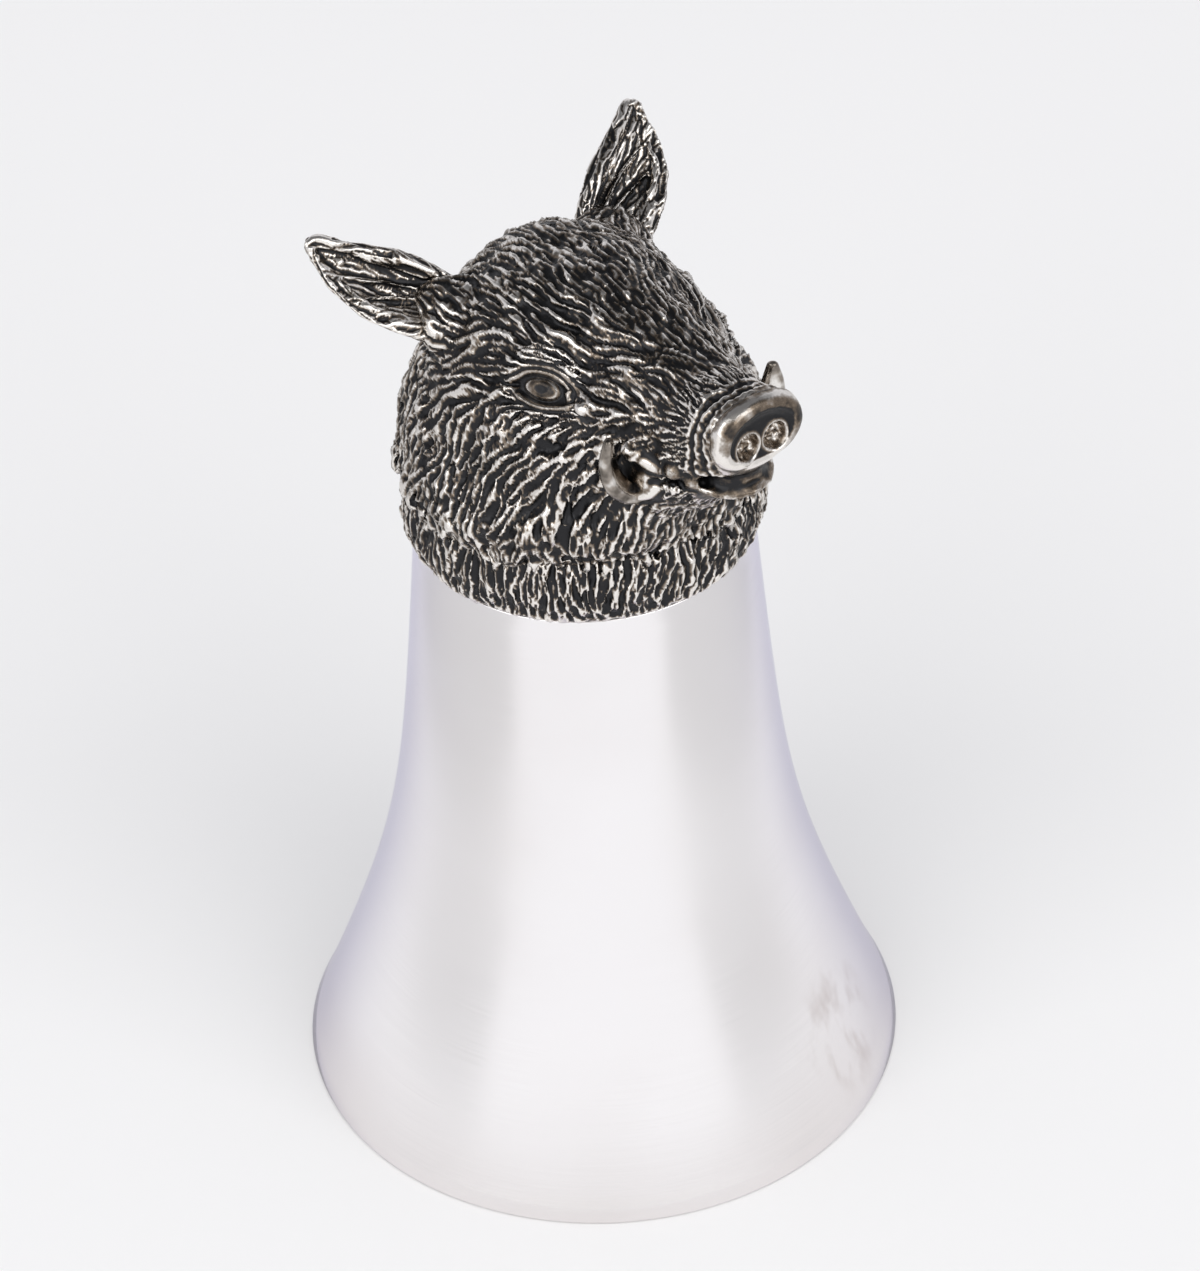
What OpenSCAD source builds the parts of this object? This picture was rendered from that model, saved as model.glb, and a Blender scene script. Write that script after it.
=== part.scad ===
// Stirrup cup with a boar's head: a spun bell that stands mouth down, a cast collar on its closed end,
// a hollow cast head above the collar, and ears and tusks cast apart and soldered into the head.
// Millimetres. Z is up, the mouth rim stands on Z = 0, the snout points along -Y.

/* [Cup] */
// Outer radius of the mouth, on which the cup stands
mouth_r = 38; // [34:0.5:44]
// Height of the shoulder that carries the collar
cup_h = 82.2; // [70:0.5:98]
// Outer radius of the bell at the shoulder
shoulder_r = 20.5; // [19:0.25:23]
// Wall thickness of the bell
cup_wall = 1.2; // [0.8:0.1:1.8]
// Lean of the wall outward at the mouth, in degrees
mouth_lean = 22; // [17:1:26]
// Lean of the wall outward at the shoulder, in degrees
shoulder_lean = 5; // [2:0.5:8]
// Width of the shoulder between the wall and the spigot
shoulder_w = 1.3; // [1:0.1:2]
// Height of the spigot above the shoulder
spigot_h = 5; // [3.5:0.25:6]

/* [Joints] */
// Gap between a spigot and its socket
fit_gap = 0.1; // [0.05:0.05:0.25]
// Thickness of a soldered joint
solder_t = 0.3; // [0.2:0.05:0.5]

/* [Collar] */
// Height of the collar
collar_h = 9.8; // [8.5:0.1:12]
// How far the collar's lower edge stands out past the shoulder
collar_lip = 0.6; // [0.2:0.1:1.5]
// How far the collar swells out past the shoulder at its middle
collar_swell = 1.5; // [1:0.1:2.5]

/* [Head] */
// Distance from the cup's axis forward to the snout
snout_reach = 34.6; // [30:0.2:38]
// Height of the forehead above the collar
forehead_h = 27.8; // [26:0.2:31]
// Height of the bridge of the nose above the collar
bridge_h = 25.4; // [24:0.2:28]
// Half the width of the skull behind the eyes
skull_w = 16.3; // [15.2:0.1:18]
// Half the width across the eyes
brow_w = 11.6; // [10.6:0.1:13.4]
// Half the width of the muzzle
muzzle_w = 5.9; // [5.4:0.1:7.5]
// Height of the chin above the collar
chin_h = 12.4; // [11.4:0.2:13.4]
// Half the width of the snout disc
disc_w = 6.2; // [5.6:0.1:7.2]
// Height of the lower edge of the snout disc above the collar
disc_low = 17.2; // [16.2:0.1:18.4]
// Height of the upper edge of the snout disc above the collar
disc_top = 26.6; // [25:0.2:28]
// Thickness of the casting
head_wall = 2.4; // [1.8:0.1:3]
// Radius of an eyeball
eye_r = 2.2; // [1.6:0.1:2.6]
// Radius of a nostril
nostril_r = 1.15; // [0.8:0.05:1.4]
// Depth of a nostril
nostril_d = 1.6; // [1:0.1:2.2]
// Depth of the snout's face inside its rim
face_d = 0.55; // [0.3:0.05:0.8]
// Height of the main locks of fur
lock_h = 1.2; // [0.4:0.1:1.4]

/* [Ears] */
// Length of an ear past its seat
ear_len = 18.6; // [15:0.2:22]
// Half the width of an ear at its widest
ear_w = 4.4; // [3.9:0.1:5.4]
// Radius of the round root of an ear
ear_root_r = 3.4; // [3:0.1:3.8]
// Depth of an ear's socket
ear_socket = 2.2; // [1.6:0.1:2.6]
// Height of the boss round the root of an ear
ear_boss = 1; // [0.6:0.1:1.4]
// Thickness of an ear at its middle
ear_t = 1.5; // [1.1:0.1:2]
// Depth of the hollow of an ear
ear_cup = 1.7; // [1:0.1:2.4]
// Turn of an ear outward from straight back, in degrees
ear_out = 46; // [36:1:56]
// Lift of an ear above level, in degrees
ear_lift = 30; // [20:1:42]
// Roll of an ear about its own length, in degrees
ear_roll = 25; // [10:1:40]

/* [Tusks] */
// Length of a tusk past its seat
tusk_len = 8.6; // [6:0.2:10]
// Radius of a tusk at its root
tusk_r = 1.3; // [1:0.05:1.5]
// Depth of a tusk's socket
tusk_socket = 2; // [1.4:0.1:2.4]
// Lean of a tusk outward, in degrees
tusk_lean = 18; // [10:1:26]
// Sideways bow of a tusk along its length
tusk_bow = 1.1; // [0.4:0.1:1.6]

/* [Hidden] */
$fn = 96;
spigot_r = shoulder_r - shoulder_w;
collar_z = cup_h + solder_t;
collar_top = collar_z + collar_h;
head_z = collar_top + solder_t;
neck_r = shoulder_r + collar_lip;
bore_r = spigot_r + fit_gap;
head_spigot_h = collar_h - spigot_h - fit_gap;
// The sections of the head fan out from a line across the front, level with the foot of the head
hub = snout_reach + 1;
// Number of sections along the head and of points round each one
rings = 46;
sides = 44;
// Angle of the last section, at the snout
last = 88;

// Point at share t of a cubic curve with four control points
function cubic(p, t) =
    pow(1 - t, 3) * p[0] + 3 * t * pow(1 - t, 2) * p[1] + 3 * t * t * (1 - t) * p[2] + pow(t, 3) * p[3];

// Outer line of the bell from the mouth to the shoulder, moved inward by d
function bell_line(d) = [
    for (i = [0:28]) cubic([
        [mouth_r - d, 0],
        [mouth_r - d - cup_h * 0.42 * tan(mouth_lean), cup_h * 0.42],
        [shoulder_r - d + cup_h * 0.5 * tan(shoulder_lean), cup_h * 0.5],
        [shoulder_r - d, cup_h]
    ], i / 28)
];

// Slope of column c of a table at row k
function slope(tab, c, k) =
    let (a = max(k - 1, 0), b = min(k + 1, len(tab) - 1))
    (tab[b][c] - tab[a][c]) / (tab[b][0] - tab[a][0]);

// Row of a table below the value x
function row(tab, x, k = 0) = k >= len(tab) - 2 || tab[k + 1][0] >= x ? k : row(tab, x, k + 1);

// Smooth curve through column c of a table, read at x
function through(tab, c, x) =
    let (k = row(tab, x), h = tab[k + 1][0] - tab[k][0], t = (x - tab[k][0]) / h)
    (2 * pow(t, 3) - 3 * t * t + 1) * tab[k][c]
    + (pow(t, 3) - 2 * t * t + t) * h * slope(tab, c, k)
    + (3 * t * t - 2 * pow(t, 3)) * tab[k + 1][c]
    + (pow(t, 3) - t * t) * h * slope(tab, c, k + 1);

// Sections of the head: angle, distance to throat, distance to crown, half width,
// fullness toward the throat, squareness
sections = [
    [0, hub - neck_r, hub + neck_r, neck_r, 0, 1],
    [10, hub - neck_r - 0.3, hub + neck_r - 0.8, (neck_r + skull_w) / 2 + 0.5, -0.04, 0.97],
    [20, chin_h + 1, hub + neck_r - 2.4, skull_w, -0.1, 0.93],
    [30, chin_h + 0.3, (forehead_h - 2.3) / sin(30), (skull_w + brow_w) / 2, -0.06, 0.9],
    [38, chin_h - 0.1, forehead_h / sin(38), brow_w, 0.08, 0.89],
    [46, chin_h - 0.2, (forehead_h - 0.2) / sin(46), (brow_w + muzzle_w) / 2 + 0.5, 0.22, 0.84],
    [54, chin_h - 0.2, (bridge_h + 0.9) / sin(54), muzzle_w + 1.9, 0.18, 0.78],
    [62, chin_h, bridge_h / sin(62), muzzle_w + 0.6, 0.12, 0.76],
    [71, chin_h + 0.2, bridge_h / sin(71), muzzle_w, 0, 0.8],
    [79, chin_h + 0.7, disc_top - 0.7, muzzle_w - 0.2, -0.3, 0.85],
    [84, disc_low - 0.4, disc_top + 0.1, disc_w, -0.1, 0.88],
    [last, disc_low + 0.1, disc_top - 0.2, disc_w - 0.1, -0.08, 0.9]
];

// Point of the plain head form at section angle f and angle a round the section
function plain(f, a) =
    let (lo = through(sections, 1, f), hi = through(sections, 2, f), s = sin(a),
         d = (lo + hi) / 2 - (hi - lo) / 2 * cos(a))
    [through(sections, 3, f) * sign(s) * pow(abs(s), through(sections, 5, f))
         * (1 + through(sections, 4, f) * cos(a)),
     d * cos(f) - hub, head_z + d * sin(f)];

// Swellings of the head: section angle, angle round it, spread, height, stretch along the fur
swellings = concat(
    [
        [38, 114, 3.8, 1.2, 1],
        [37, 98, 3.2, -1.1, 1],
        [27, 74, 7, 1.1, 1],
        [47, 62, 3.4, -1.1, 1],
        [66, 60, 3, 0.7, 1],
        [3, 80, 6.5, lock_h, 1]
    ],
    [for (a = [12:22:166]) [4, a, 3.2, lock_h, 1]],
    [for (a = [23:22:177]) [11, a, 2.7, lock_h, 1.5]],
    [for (a = [34, 56, 78, 100, 122, 166]) [18, a, 2.7, lock_h, 1.5]],
    [for (a = [67, 90, 112, 170]) [25, a, 2.7, lock_h, 1.5]],
    [for (a = [128, 152, 174]) [31, a, 2.7, lock_h, 1.6]],
    [for (a = [138, 160]) [38, a, 2.6, lock_h * 0.8, 1.6]],
    [for (a = [150, 172]) [44, a, 2.5, lock_h * 0.7, 1.6]]
);

// The swellings on both sides: place, direction of the fur, spread, height, stretch
swell_spots = [
    for (w = swellings, s = [-1, 1])
        let (v = plain(w[0] - 1, s * w[1]) - plain(w[0] + 1, s * w[1]))
        [plain(w[0], s * w[1]), v / norm(v), w[2], w[3], w[4]]
];

// Total height of the swellings at a point of the plain form
function swell(p) = [
    for (w = swell_spots)
        let (e = p - w[0], t = e * w[1])
        w[3] * exp(-(e * e - t * t + t * t / (w[4] * w[4])) / (w[2] * w[2]))
] * [for (w = swell_spots) 1];

// Point of the finished head form, with the swellings laid on outward from the middle of the section
function skin(f, a) =
    let (p = plain(f, a), d = (through(sections, 1, f) + through(sections, 2, f)) / 2,
         m = [0, d * cos(f) - hub, head_z + d * sin(f)], v = p - m)
    f <= 0 || f >= last ? p : p + v / norm(v) * swell(p);

head_points = [for (i = [0:rings], j = [0:sides - 1]) skin(last * i / rings, 360 * j / sides)];
head_faces = concat(
    [[for (j = [0:sides - 1]) j]],
    [for (i = [0:rings - 1], j = [0:sides - 1]) let (k = (j + 1) % sides)
        each [[i * sides + j, (i + 1) * sides + j, (i + 1) * sides + k],
              [i * sides + j, (i + 1) * sides + k, i * sides + k]]],
    [[for (j = [sides - 1:-1:0]) rings * sides + j]]
);

// Place of an eyeball, sunk into the head
eye_spot = skin(37, 98);
eye_seat = eye_spot - (eye_r - 0.9) * [0.86, -0.36, 0.36];

// Directions of an ear: along its length, across it toward the side, and out of its back
ear_a = [cos(ear_lift) * sin(ear_out), cos(ear_lift) * cos(ear_out), sin(ear_lift)];
ear_level = [cos(ear_out), -sin(ear_out), 0];
ear_x = cos(ear_roll) * ear_level + sin(ear_roll) * cross(ear_a, ear_level);
ear_y = cross(ear_a, ear_x);
// Place of an ear on the head
ear_seat = skin(23.5, 141);
// Outline of an ear: share of the length, half width, shift toward the crown, bend out of its plane
ear_outline = [
    [0, 0.66, 0, 0],
    [0.12, 0.78, -0.04, 0],
    [0.3, 0.97, -0.18, 0.1],
    [0.45, 1, -0.32, 0.1],
    [0.62, 0.87, -0.38, 0],
    [0.78, 0.62, -0.36, -0.1],
    [0.9, 0.4, -0.3, -0.1],
    [1, 0.16, -0.24, 0.2]
];
ear_rings = 18;
ear_sides = 24;
// Point of an ear at share t of its length, round its crescent at angle a
function ear_point(t, a) =
    let (w = ear_w * through(ear_outline, 1, t), c = cos(a), s = sin(a),
         g = min(1, t / 0.3), cup = ear_cup * g * through(ear_outline, 1, t),
         h = (1 - g) * w * 0.62 + g * ear_t / 2 * (0.5 + 0.5 * through(ear_outline, 1, t)))
    [w * c - ear_w * through(ear_outline, 2, t),
     h * s - cup * c * c + cup * 0.6 + ear_w * through(ear_outline, 3, t),
     ear_len * t];

// Place of a tusk: on the ledge of the lower jaw
tusk_spot = skin(39, 50);
tusk_seat = [tusk_spot[0] - tusk_r + 0.7, tusk_spot[1], tusk_spot[2] - 0.6];
tusk_rings = 12;
tusk_sides = 16;
// Point of a tusk at share t of its length and angle a round it
function tusk_point(t, a) =
    let (r = tusk_r * (1 - 0.8 * pow(t, 1.6)), k = tusk_bow * sin(150 * t))
    [k + r * cos(a), -0.4 * t + r * sin(a), tusk_len * t];

// Closed solid through n + 1 rings of m points each
module tube(points, n, m) {
    polyhedron(points, concat(
        [[for (j = [0:m - 1]) j]],
        [for (i = [0:n - 1], j = [0:m - 1]) let (k = (j + 1) % m)
            each [[i * m + j, (i + 1) * m + j, (i + 1) * m + k],
                  [i * m + j, (i + 1) * m + k, i * m + k]]],
        [[for (j = [m - 1:-1:0]) n * m + j]]
    ));
}

// Frame of an ear on the boar's left side
module ear_frame() {
    multmatrix([
        [ear_x[0], ear_y[0], ear_a[0], ear_seat[0]],
        [ear_x[1], ear_y[1], ear_a[1], ear_seat[1]],
        [ear_x[2], ear_y[2], ear_a[2], ear_seat[2]],
        [0, 0, 0, 1]
    ]) children();
}

// Frame of a tusk on the boar's left side
module tusk_frame() {
    translate(tusk_seat) rotate([0, tusk_lean, 0]) children();
}

// Spun bell with its closed end and the spigot for the collar
module cup_bell() {
    color([0.86, 0.86, 0.87])
    rotate_extrude()
    polygon(concat(
        bell_line(0),
        [[spigot_r, cup_h], [spigot_r, cup_h + spigot_h - 0.6], [spigot_r - 0.6, cup_h + spigot_h],
         [0, cup_h + spigot_h], [0, cup_h + spigot_h - cup_wall],
         [spigot_r - cup_wall, cup_h + spigot_h - cup_wall], [spigot_r - cup_wall, cup_h - 2.5]],
        [for (i = [28:-1:0]) let (p = bell_line(cup_wall)[i]) if (p[1] < cup_h - 5) p]
    ));
}

// Soldered joint between the bell's shoulder and the collar
module cup_solder() {
    color([0.8, 0.8, 0.8])
    translate([0, 0, cup_h])
    difference() {
        cylinder(r = shoulder_r - 0.1, h = solder_t);
        translate([0, 0, -1]) cylinder(r = bore_r, h = solder_t + 2);
    }
}

// Cast collar, a sleeve over the spigots of the bell and of the head
module neck_collar() {
    color([0.4, 0.38, 0.36])
    difference() {
        translate([0, 0, collar_z])
        rotate_extrude()
        polygon(concat(
            [[0, 0]],
            [for (i = [0:12]) [neck_r + (collar_swell - collar_lip) * sin(180 * i / 12), collar_h * i / 12]],
            [[0, collar_h]]
        ));
        translate([0, 0, collar_z - 1]) cylinder(r = bore_r, h = collar_h + 2);
    }
}

// Soldered joint between the collar and the head
module head_solder() {
    color([0.8, 0.8, 0.8])
    translate([0, 0, collar_top])
    difference() {
        cylinder(r = neck_r - 0.5, h = solder_t);
        translate([0, 0, -1]) cylinder(r = bore_r, h = solder_t + 2);
    }
}

// Slot of the mouth, a shallow groove round the front of the jaws
module mouth() {
    difference() {
        rotate([90, 0, 90])
        translate([0, 0, -20])
        linear_extrude(height = 40)
        polygon([
            [-hub + 16.5, head_z + chin_h + 0.2],
            [-hub - 3, head_z + chin_h + 2.2],
            [-hub - 3, head_z + disc_low - 0.5],
            [-hub + 4, head_z + disc_low - 1.2],
            [-hub + 12, head_z + chin_h + 2.2]
        ]);
        translate([0, 12 - hub, head_z - 1]) cylinder(r = muzzle_w - 1.2, h = 30);
        translate([0, 6 - hub, head_z - 1]) cylinder(r = muzzle_w - 2.4, h = 30);
    }
}

// Hollow of the casting, open at the foot
module hollow() {
    translate([0, 0, head_z - head_spigot_h - 1])
    cylinder(r = spigot_r - head_wall, h = head_spigot_h + 1.1);
    translate([0, 0, head_z])
    rotate_extrude()
    polygon([
        [0, 0], [spigot_r - head_wall, 0], [spigot_r - head_wall - 0.8, 6],
        [spigot_r - head_wall - 3.4, 12], [spigot_r - head_wall - 8, forehead_h - 9],
        [0, forehead_h - 6.5]
    ]);
}

// Hollow cast head with the spigot for the collar and the sockets for ears and tusks
module head_casting() {
    color([0.36, 0.34, 0.32])
    difference() {
        union() {
            polyhedron(head_points, head_faces);
            translate([0, 0, head_z - head_spigot_h]) cylinder(r = spigot_r, h = head_spigot_h + 2);
            for (s = [-1, 1]) translate([s * eye_seat[0], eye_seat[1], eye_seat[2]]) sphere(r = eye_r, $fn = 48);
            for (s = [0, 1]) mirror([s, 0, 0])
                ear_frame()
                translate([0, 0, -ear_socket])
                cylinder(r1 = ear_root_r + 2.6, r2 = ear_root_r + 0.8, h = ear_socket + ear_boss);
        }
        hollow();
        mouth();
        for (s = [0, 1]) mirror([s, 0, 0]) {
            ear_frame() translate([0, 0, -ear_socket]) cylinder(r = ear_root_r + fit_gap, h = ear_socket + 8);
            tusk_frame() translate([0, 0, -tusk_socket]) cylinder(r = tusk_r + fit_gap, h = tusk_socket + 1);
            tusk_frame() cylinder(r = tusk_r + 1, h = tusk_len + 4);
            translate([disc_w * 0.3, -hub - 2, head_z + (disc_low + disc_top) / 2 - 1.1])
            rotate([-90, 0, 0])
            cylinder(r = nostril_r, h = nostril_d + face_d + 2.6);
        }
        translate([0, face_d + 0.8 - hub, head_z + (disc_low + disc_top) / 2])
        rotate([90, 0, 0])
        linear_extrude(height = 4)
        polygon([for (a = [0:15:345]) [disc_w * 0.7 * cos(a), (disc_top - disc_low) * 0.33 * sin(a)]]);
    }
}

// Ear on the boar's left side, with its round root
module ear() {
    ear_frame() {
        tube([for (i = [0:ear_rings], j = [0:ear_sides - 1])
                 ear_point(i / ear_rings, 360 * j / ear_sides)], ear_rings, ear_sides);
        translate([0, 0, -ear_socket]) cylinder(r = ear_root_r, h = ear_socket + ear_boss);
    }
}

// Ear on the boar's right side
module right_ear() {
    color([0.4, 0.38, 0.36]) mirror([1, 0, 0]) ear();
}

// Ear on the boar's left side
module left_ear() {
    color([0.4, 0.38, 0.36]) ear();
}

// Tusk on the boar's left side, with its round root
module tusk() {
    tusk_frame() {
        tube([for (i = [0:tusk_rings], j = [0:tusk_sides - 1])
                 tusk_point(i / tusk_rings, 360 * j / tusk_sides)], tusk_rings, tusk_sides);
        translate([0, 0, -tusk_socket]) cylinder(r = tusk_r, h = tusk_socket + 0.3);
    }
}

// Tusk on the boar's right side
module right_tusk() {
    color([0.9, 0.88, 0.84]) mirror([1, 0, 0]) tusk();
}

// Tusk on the boar's left side
module left_tusk() {
    color([0.9, 0.88, 0.84]) tusk();
}

cup_bell();
cup_solder();
neck_collar();
head_solder();
head_casting();
right_ear();
left_ear();
right_tusk();
left_tusk();
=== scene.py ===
"""Stirrup cup with a boar's head: satin bell, carved and blackened castings, polished tusks."""

import math

import bmesh
import bpy
import numpy as np
from bpy.props import FloatProperty, FloatVectorProperty, IntProperty, PointerProperty
from bpy.types import Operator, Panel, PropertyGroup
from mathutils import Matrix, Vector, kdtree
from mathutils.noise import noise as noise_at


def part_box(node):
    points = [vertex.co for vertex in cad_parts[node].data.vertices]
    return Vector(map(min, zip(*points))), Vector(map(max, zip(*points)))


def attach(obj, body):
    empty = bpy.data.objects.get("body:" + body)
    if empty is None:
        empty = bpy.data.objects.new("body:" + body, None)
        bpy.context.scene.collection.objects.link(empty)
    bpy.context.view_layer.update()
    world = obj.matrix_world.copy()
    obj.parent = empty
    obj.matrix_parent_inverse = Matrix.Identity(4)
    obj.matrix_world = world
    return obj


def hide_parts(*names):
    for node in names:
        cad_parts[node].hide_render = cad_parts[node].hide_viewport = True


bl_info = {
    "name": "Boar Stirrup Cup",
    "version": (1, 0, 0),
    "blender": (4, 5, 0),
    "location": "View3D > Sidebar > Stirrup Cup",
    "description": "Builds a stirrup cup with a carved boar's head on the packed frame",
    "category": "Add Mesh",
}

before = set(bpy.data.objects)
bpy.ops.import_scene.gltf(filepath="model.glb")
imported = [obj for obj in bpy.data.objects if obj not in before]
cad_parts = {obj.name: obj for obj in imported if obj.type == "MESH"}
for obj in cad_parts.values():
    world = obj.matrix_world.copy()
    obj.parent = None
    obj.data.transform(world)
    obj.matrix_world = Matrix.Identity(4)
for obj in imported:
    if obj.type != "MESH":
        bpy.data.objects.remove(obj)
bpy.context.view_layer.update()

# Places and lengths inside the helpers are in millimetres, in the frame of the cup
MM = 1000.0
BELL_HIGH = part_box("cup_bell")[1] * MM
SEAM_LOW, SEAM_HIGH = (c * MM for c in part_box("cup_solder"))
COLLAR_LOW, COLLAR_HIGH = (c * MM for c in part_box("neck_collar"))

# How far the bell's shoulder stands out past the solder
SHOULDER_REVEAL = 0.1


class CupSizes(PropertyGroup):
    mouth_radius: FloatProperty(
        name="Mouth radius", description="Outer radius of the rim that the cup stands on",
        default=BELL_HIGH.x / MM, unit="LENGTH")
    shoulder_radius: FloatProperty(
        name="Shoulder radius", description="Outer radius of the bell where the collar sits",
        default=(SEAM_HIGH.x + SHOULDER_REVEAL) / MM, unit="LENGTH")
    shoulder_height: FloatProperty(
        name="Shoulder height", description="Height of the bell's shoulder above the rim",
        default=SEAM_LOW.z / MM, unit="LENGTH")
    wall: FloatProperty(
        name="Wall", description="Thickness of the bell's wall", default=0.0012, unit="LENGTH")
    mouth_lean: FloatProperty(
        name="Mouth lean", description="Outward lean of the wall at the mouth",
        default=math.radians(22), subtype="ANGLE")
    shoulder_lean: FloatProperty(
        name="Shoulder lean", description="Outward lean of the wall at the shoulder",
        default=math.radians(5), subtype="ANGLE")
    steps_round: IntProperty(
        name="Steps round", description="Facets round the bell", default=256)


class FurSizes(PropertyGroup):
    grain: FloatProperty(
        name="Grain", description="Edge length of the carved skin of the head",
        default=0.000345, unit="LENGTH")
    depth: FloatProperty(
        name="Gouge depth", description="Depth of a gouge on the cheeks", default=0.00055, unit="LENGTH")
    seed: IntProperty(name="Seed", description="Seed of the gouges' places", default=7)


def colour_choice(name, description, default):
    """A colour that the panel shows."""
    return FloatVectorProperty(name=name, description=description, subtype="COLOR", default=default,
                               min=0, max=1)


class CupColours(PropertyGroup):
    satin: colour_choice("Satin metal", "Colour of the bell", (0.94, 0.92, 0.922))
    bright: colour_choice("Rubbed metal", "Colour of the rubbed ridges", (0.88, 0.84, 0.795))
    brown: colour_choice("Brown patina", "Colour where the blackening is rubbed thin", (0.215, 0.17, 0.13))
    black: colour_choice("Black patina", "Colour of the hollows", (0.027, 0.027, 0.029))
    tusk_dark: colour_choice("Dark tusk", "Darkest clouds on the tusks", (0.12, 0.105, 0.09))
    tusk: colour_choice("Tusk", "Middle tone of the tusks", (0.36, 0.32, 0.28))
    tusk_bright: colour_choice("Bright tusk", "Polished places on the tusks", (0.82, 0.79, 0.75))
    solder_dark: colour_choice("Dark solder", "Hollows of the solder", (0.36, 0.36, 0.36))
    solder: colour_choice("Solder", "Colour of the soldered seams", (0.62, 0.61, 0.6))
    floor: colour_choice("Floor", "Colour of the floor and backdrop", (0.935, 0.93, 0.925))


def ease(low, high, x):
    """Smooth step of x from low to high."""
    t = np.clip((x - low) / (high - low), 0.0, 1.0)
    return t * t * (3.0 - 2.0 * t)


def noise_field(points, scale):
    """Noise at each point, with about one wave in 1 / scale millimetres."""
    return np.array([noise_at(Vector(c) * scale) for c in points.tolist()])


def mesh_from(bm, name):
    """Turn a bmesh into a mesh and let go of it."""
    mesh = bpy.data.meshes.new(name)
    bm.to_mesh(mesh)
    bm.free()
    return mesh


def new_piece(name, mesh, material, slot, *nodes):
    """Link a finished mesh as a piece that rides on the cup and stands for its nodes."""
    piece = bpy.data.objects.new(name, mesh)
    bpy.context.scene.collection.objects.link(piece)
    mesh.materials.clear()
    mesh.materials.append(material)
    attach(piece, "root")
    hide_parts(*nodes)
    return piece


# Wax forms: closed shapes in millimetres that are fused into one skin before carving

def copy_node(bm, node):
    """Add a merged copy of a solid, in millimetres."""
    bm.from_mesh(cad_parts[node].data)
    bmesh.ops.remove_doubles(bm, verts=bm.verts, dist=1e-6)
    bmesh.ops.scale(bm, vec=(MM, MM, MM), verts=bm.verts)


def curve_through(points, count):
    """Evenly spread points on a smooth curve through the given ones."""
    p = np.array(points, float)
    n = len(p)
    ends = np.vstack([2 * p[0] - p[1], p, 2 * p[-1] - p[-2]])
    out = []
    for t in np.linspace(0, n - 1, count):
        k = min(int(t), n - 2)
        u = t - k
        a, b, c, d = ends[k:k + 4]
        out.append(0.5 * (2 * b + (c - a) * u + (2 * a - 5 * b + 4 * c - d) * u * u
                          + (3 * b - a - 3 * c + d) * u ** 3))
    return np.array(out)


class Wax:
    """Closed forms gathered in millimetres, to be fused with a solid into one skin."""

    def __init__(self):
        self.shapes = {}
        self.corners = []
        self.faces = []
        self.count = 0

    def ball(self, centre, radii, fine=3):
        """Add an ellipsoid."""
        if fine not in self.shapes:
            bm = bmesh.new()
            bmesh.ops.create_icosphere(bm, subdivisions=fine, radius=1.0)
            self.shapes[fine] = (np.array([v.co for v in bm.verts]),
                                 np.array([[v.index for v in f.verts] for f in bm.faces]))
            bm.free()
        corners, faces = self.shapes[fine]
        self.corners.append(corners * np.array(radii) + np.array(centre))
        self.faces.append(faces + self.count)
        self.count += len(corners)

    def rope(self, points, radii):
        """Add a rounded ridge along a smooth curve, with its radius given at each point."""
        line = [(*p, r) for p, r in zip(points, radii)]
        path = curve_through(line, 8 * len(points))
        length = np.linalg.norm(np.diff(path[:, :3], axis=0), axis=1).sum()
        for x, y, z, r in curve_through(line, max(8, int(length / (0.3 * min(radii))))):
            self.ball((x, y, z), (r, r, r), fine=2)

    def add_to(self, bm):
        """Put the gathered forms into a bmesh."""
        mesh = bpy.data.meshes.new("wax")
        mesh.from_pydata(np.concatenate(self.corners).tolist(), [], np.concatenate(self.faces).tolist())
        bm.from_mesh(mesh)
        bpy.data.meshes.remove(mesh)


def ridge(points, path, width):
    """Height from 0 to 1 of a rounded line along a path, fading at both ends, at each point."""
    best = np.full(len(points), 1e9)
    share = np.zeros(len(points))
    for k, place in enumerate(path):
        d = ((points - place) ** 2).sum(axis=1)
        hit = d < best
        best[hit] = d[hit]
        share[hit] = k / (len(path) - 1)
    fade = np.clip(np.sin(np.pi * np.clip(share, 0.03, 0.97)) * 2.4, 0, 1)
    return fade * np.clip(1 - best / (width * width), 0, 1) ** 1.5


def even_skin(bm, grain, passes, name):
    """Fuse the closed shapes of a bmesh into one even skin and smooth it."""
    mesh = mesh_from(bm, name)
    holder = bpy.data.objects.new(name, mesh)
    bpy.context.scene.collection.objects.link(holder)
    fuse = holder.modifiers.new("Fuse", "REMESH")
    fuse.mode = "VOXEL"
    fuse.voxel_size = grain
    fuse.adaptivity = 0.0
    graph = bpy.context.evaluated_depsgraph_get()
    skin = bpy.data.meshes.new_from_object(holder.evaluated_get(graph))
    bpy.data.objects.remove(holder)
    bpy.data.meshes.remove(mesh)
    out = bmesh.new()
    out.from_mesh(skin)
    bpy.data.meshes.remove(skin)
    for _ in range(passes):
        bmesh.ops.smooth_vert(out, verts=out.verts, factor=0.5,
                              use_axis_x=True, use_axis_y=True, use_axis_z=True)
    return out


# Fur: room round a seed in lengths and half widths, least cover that still takes seeds, most places tried,
# steps from a gouge's middle to its end, and spread of the gouges' sizes
SEED_ALONG, SEED_ACROSS = 0.62, 1.55
BALD = 0.15
SEED_TRIES = 60000
GOUGE_STEPS = 8
GOUGE_SPREAD = 0.35


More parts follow.
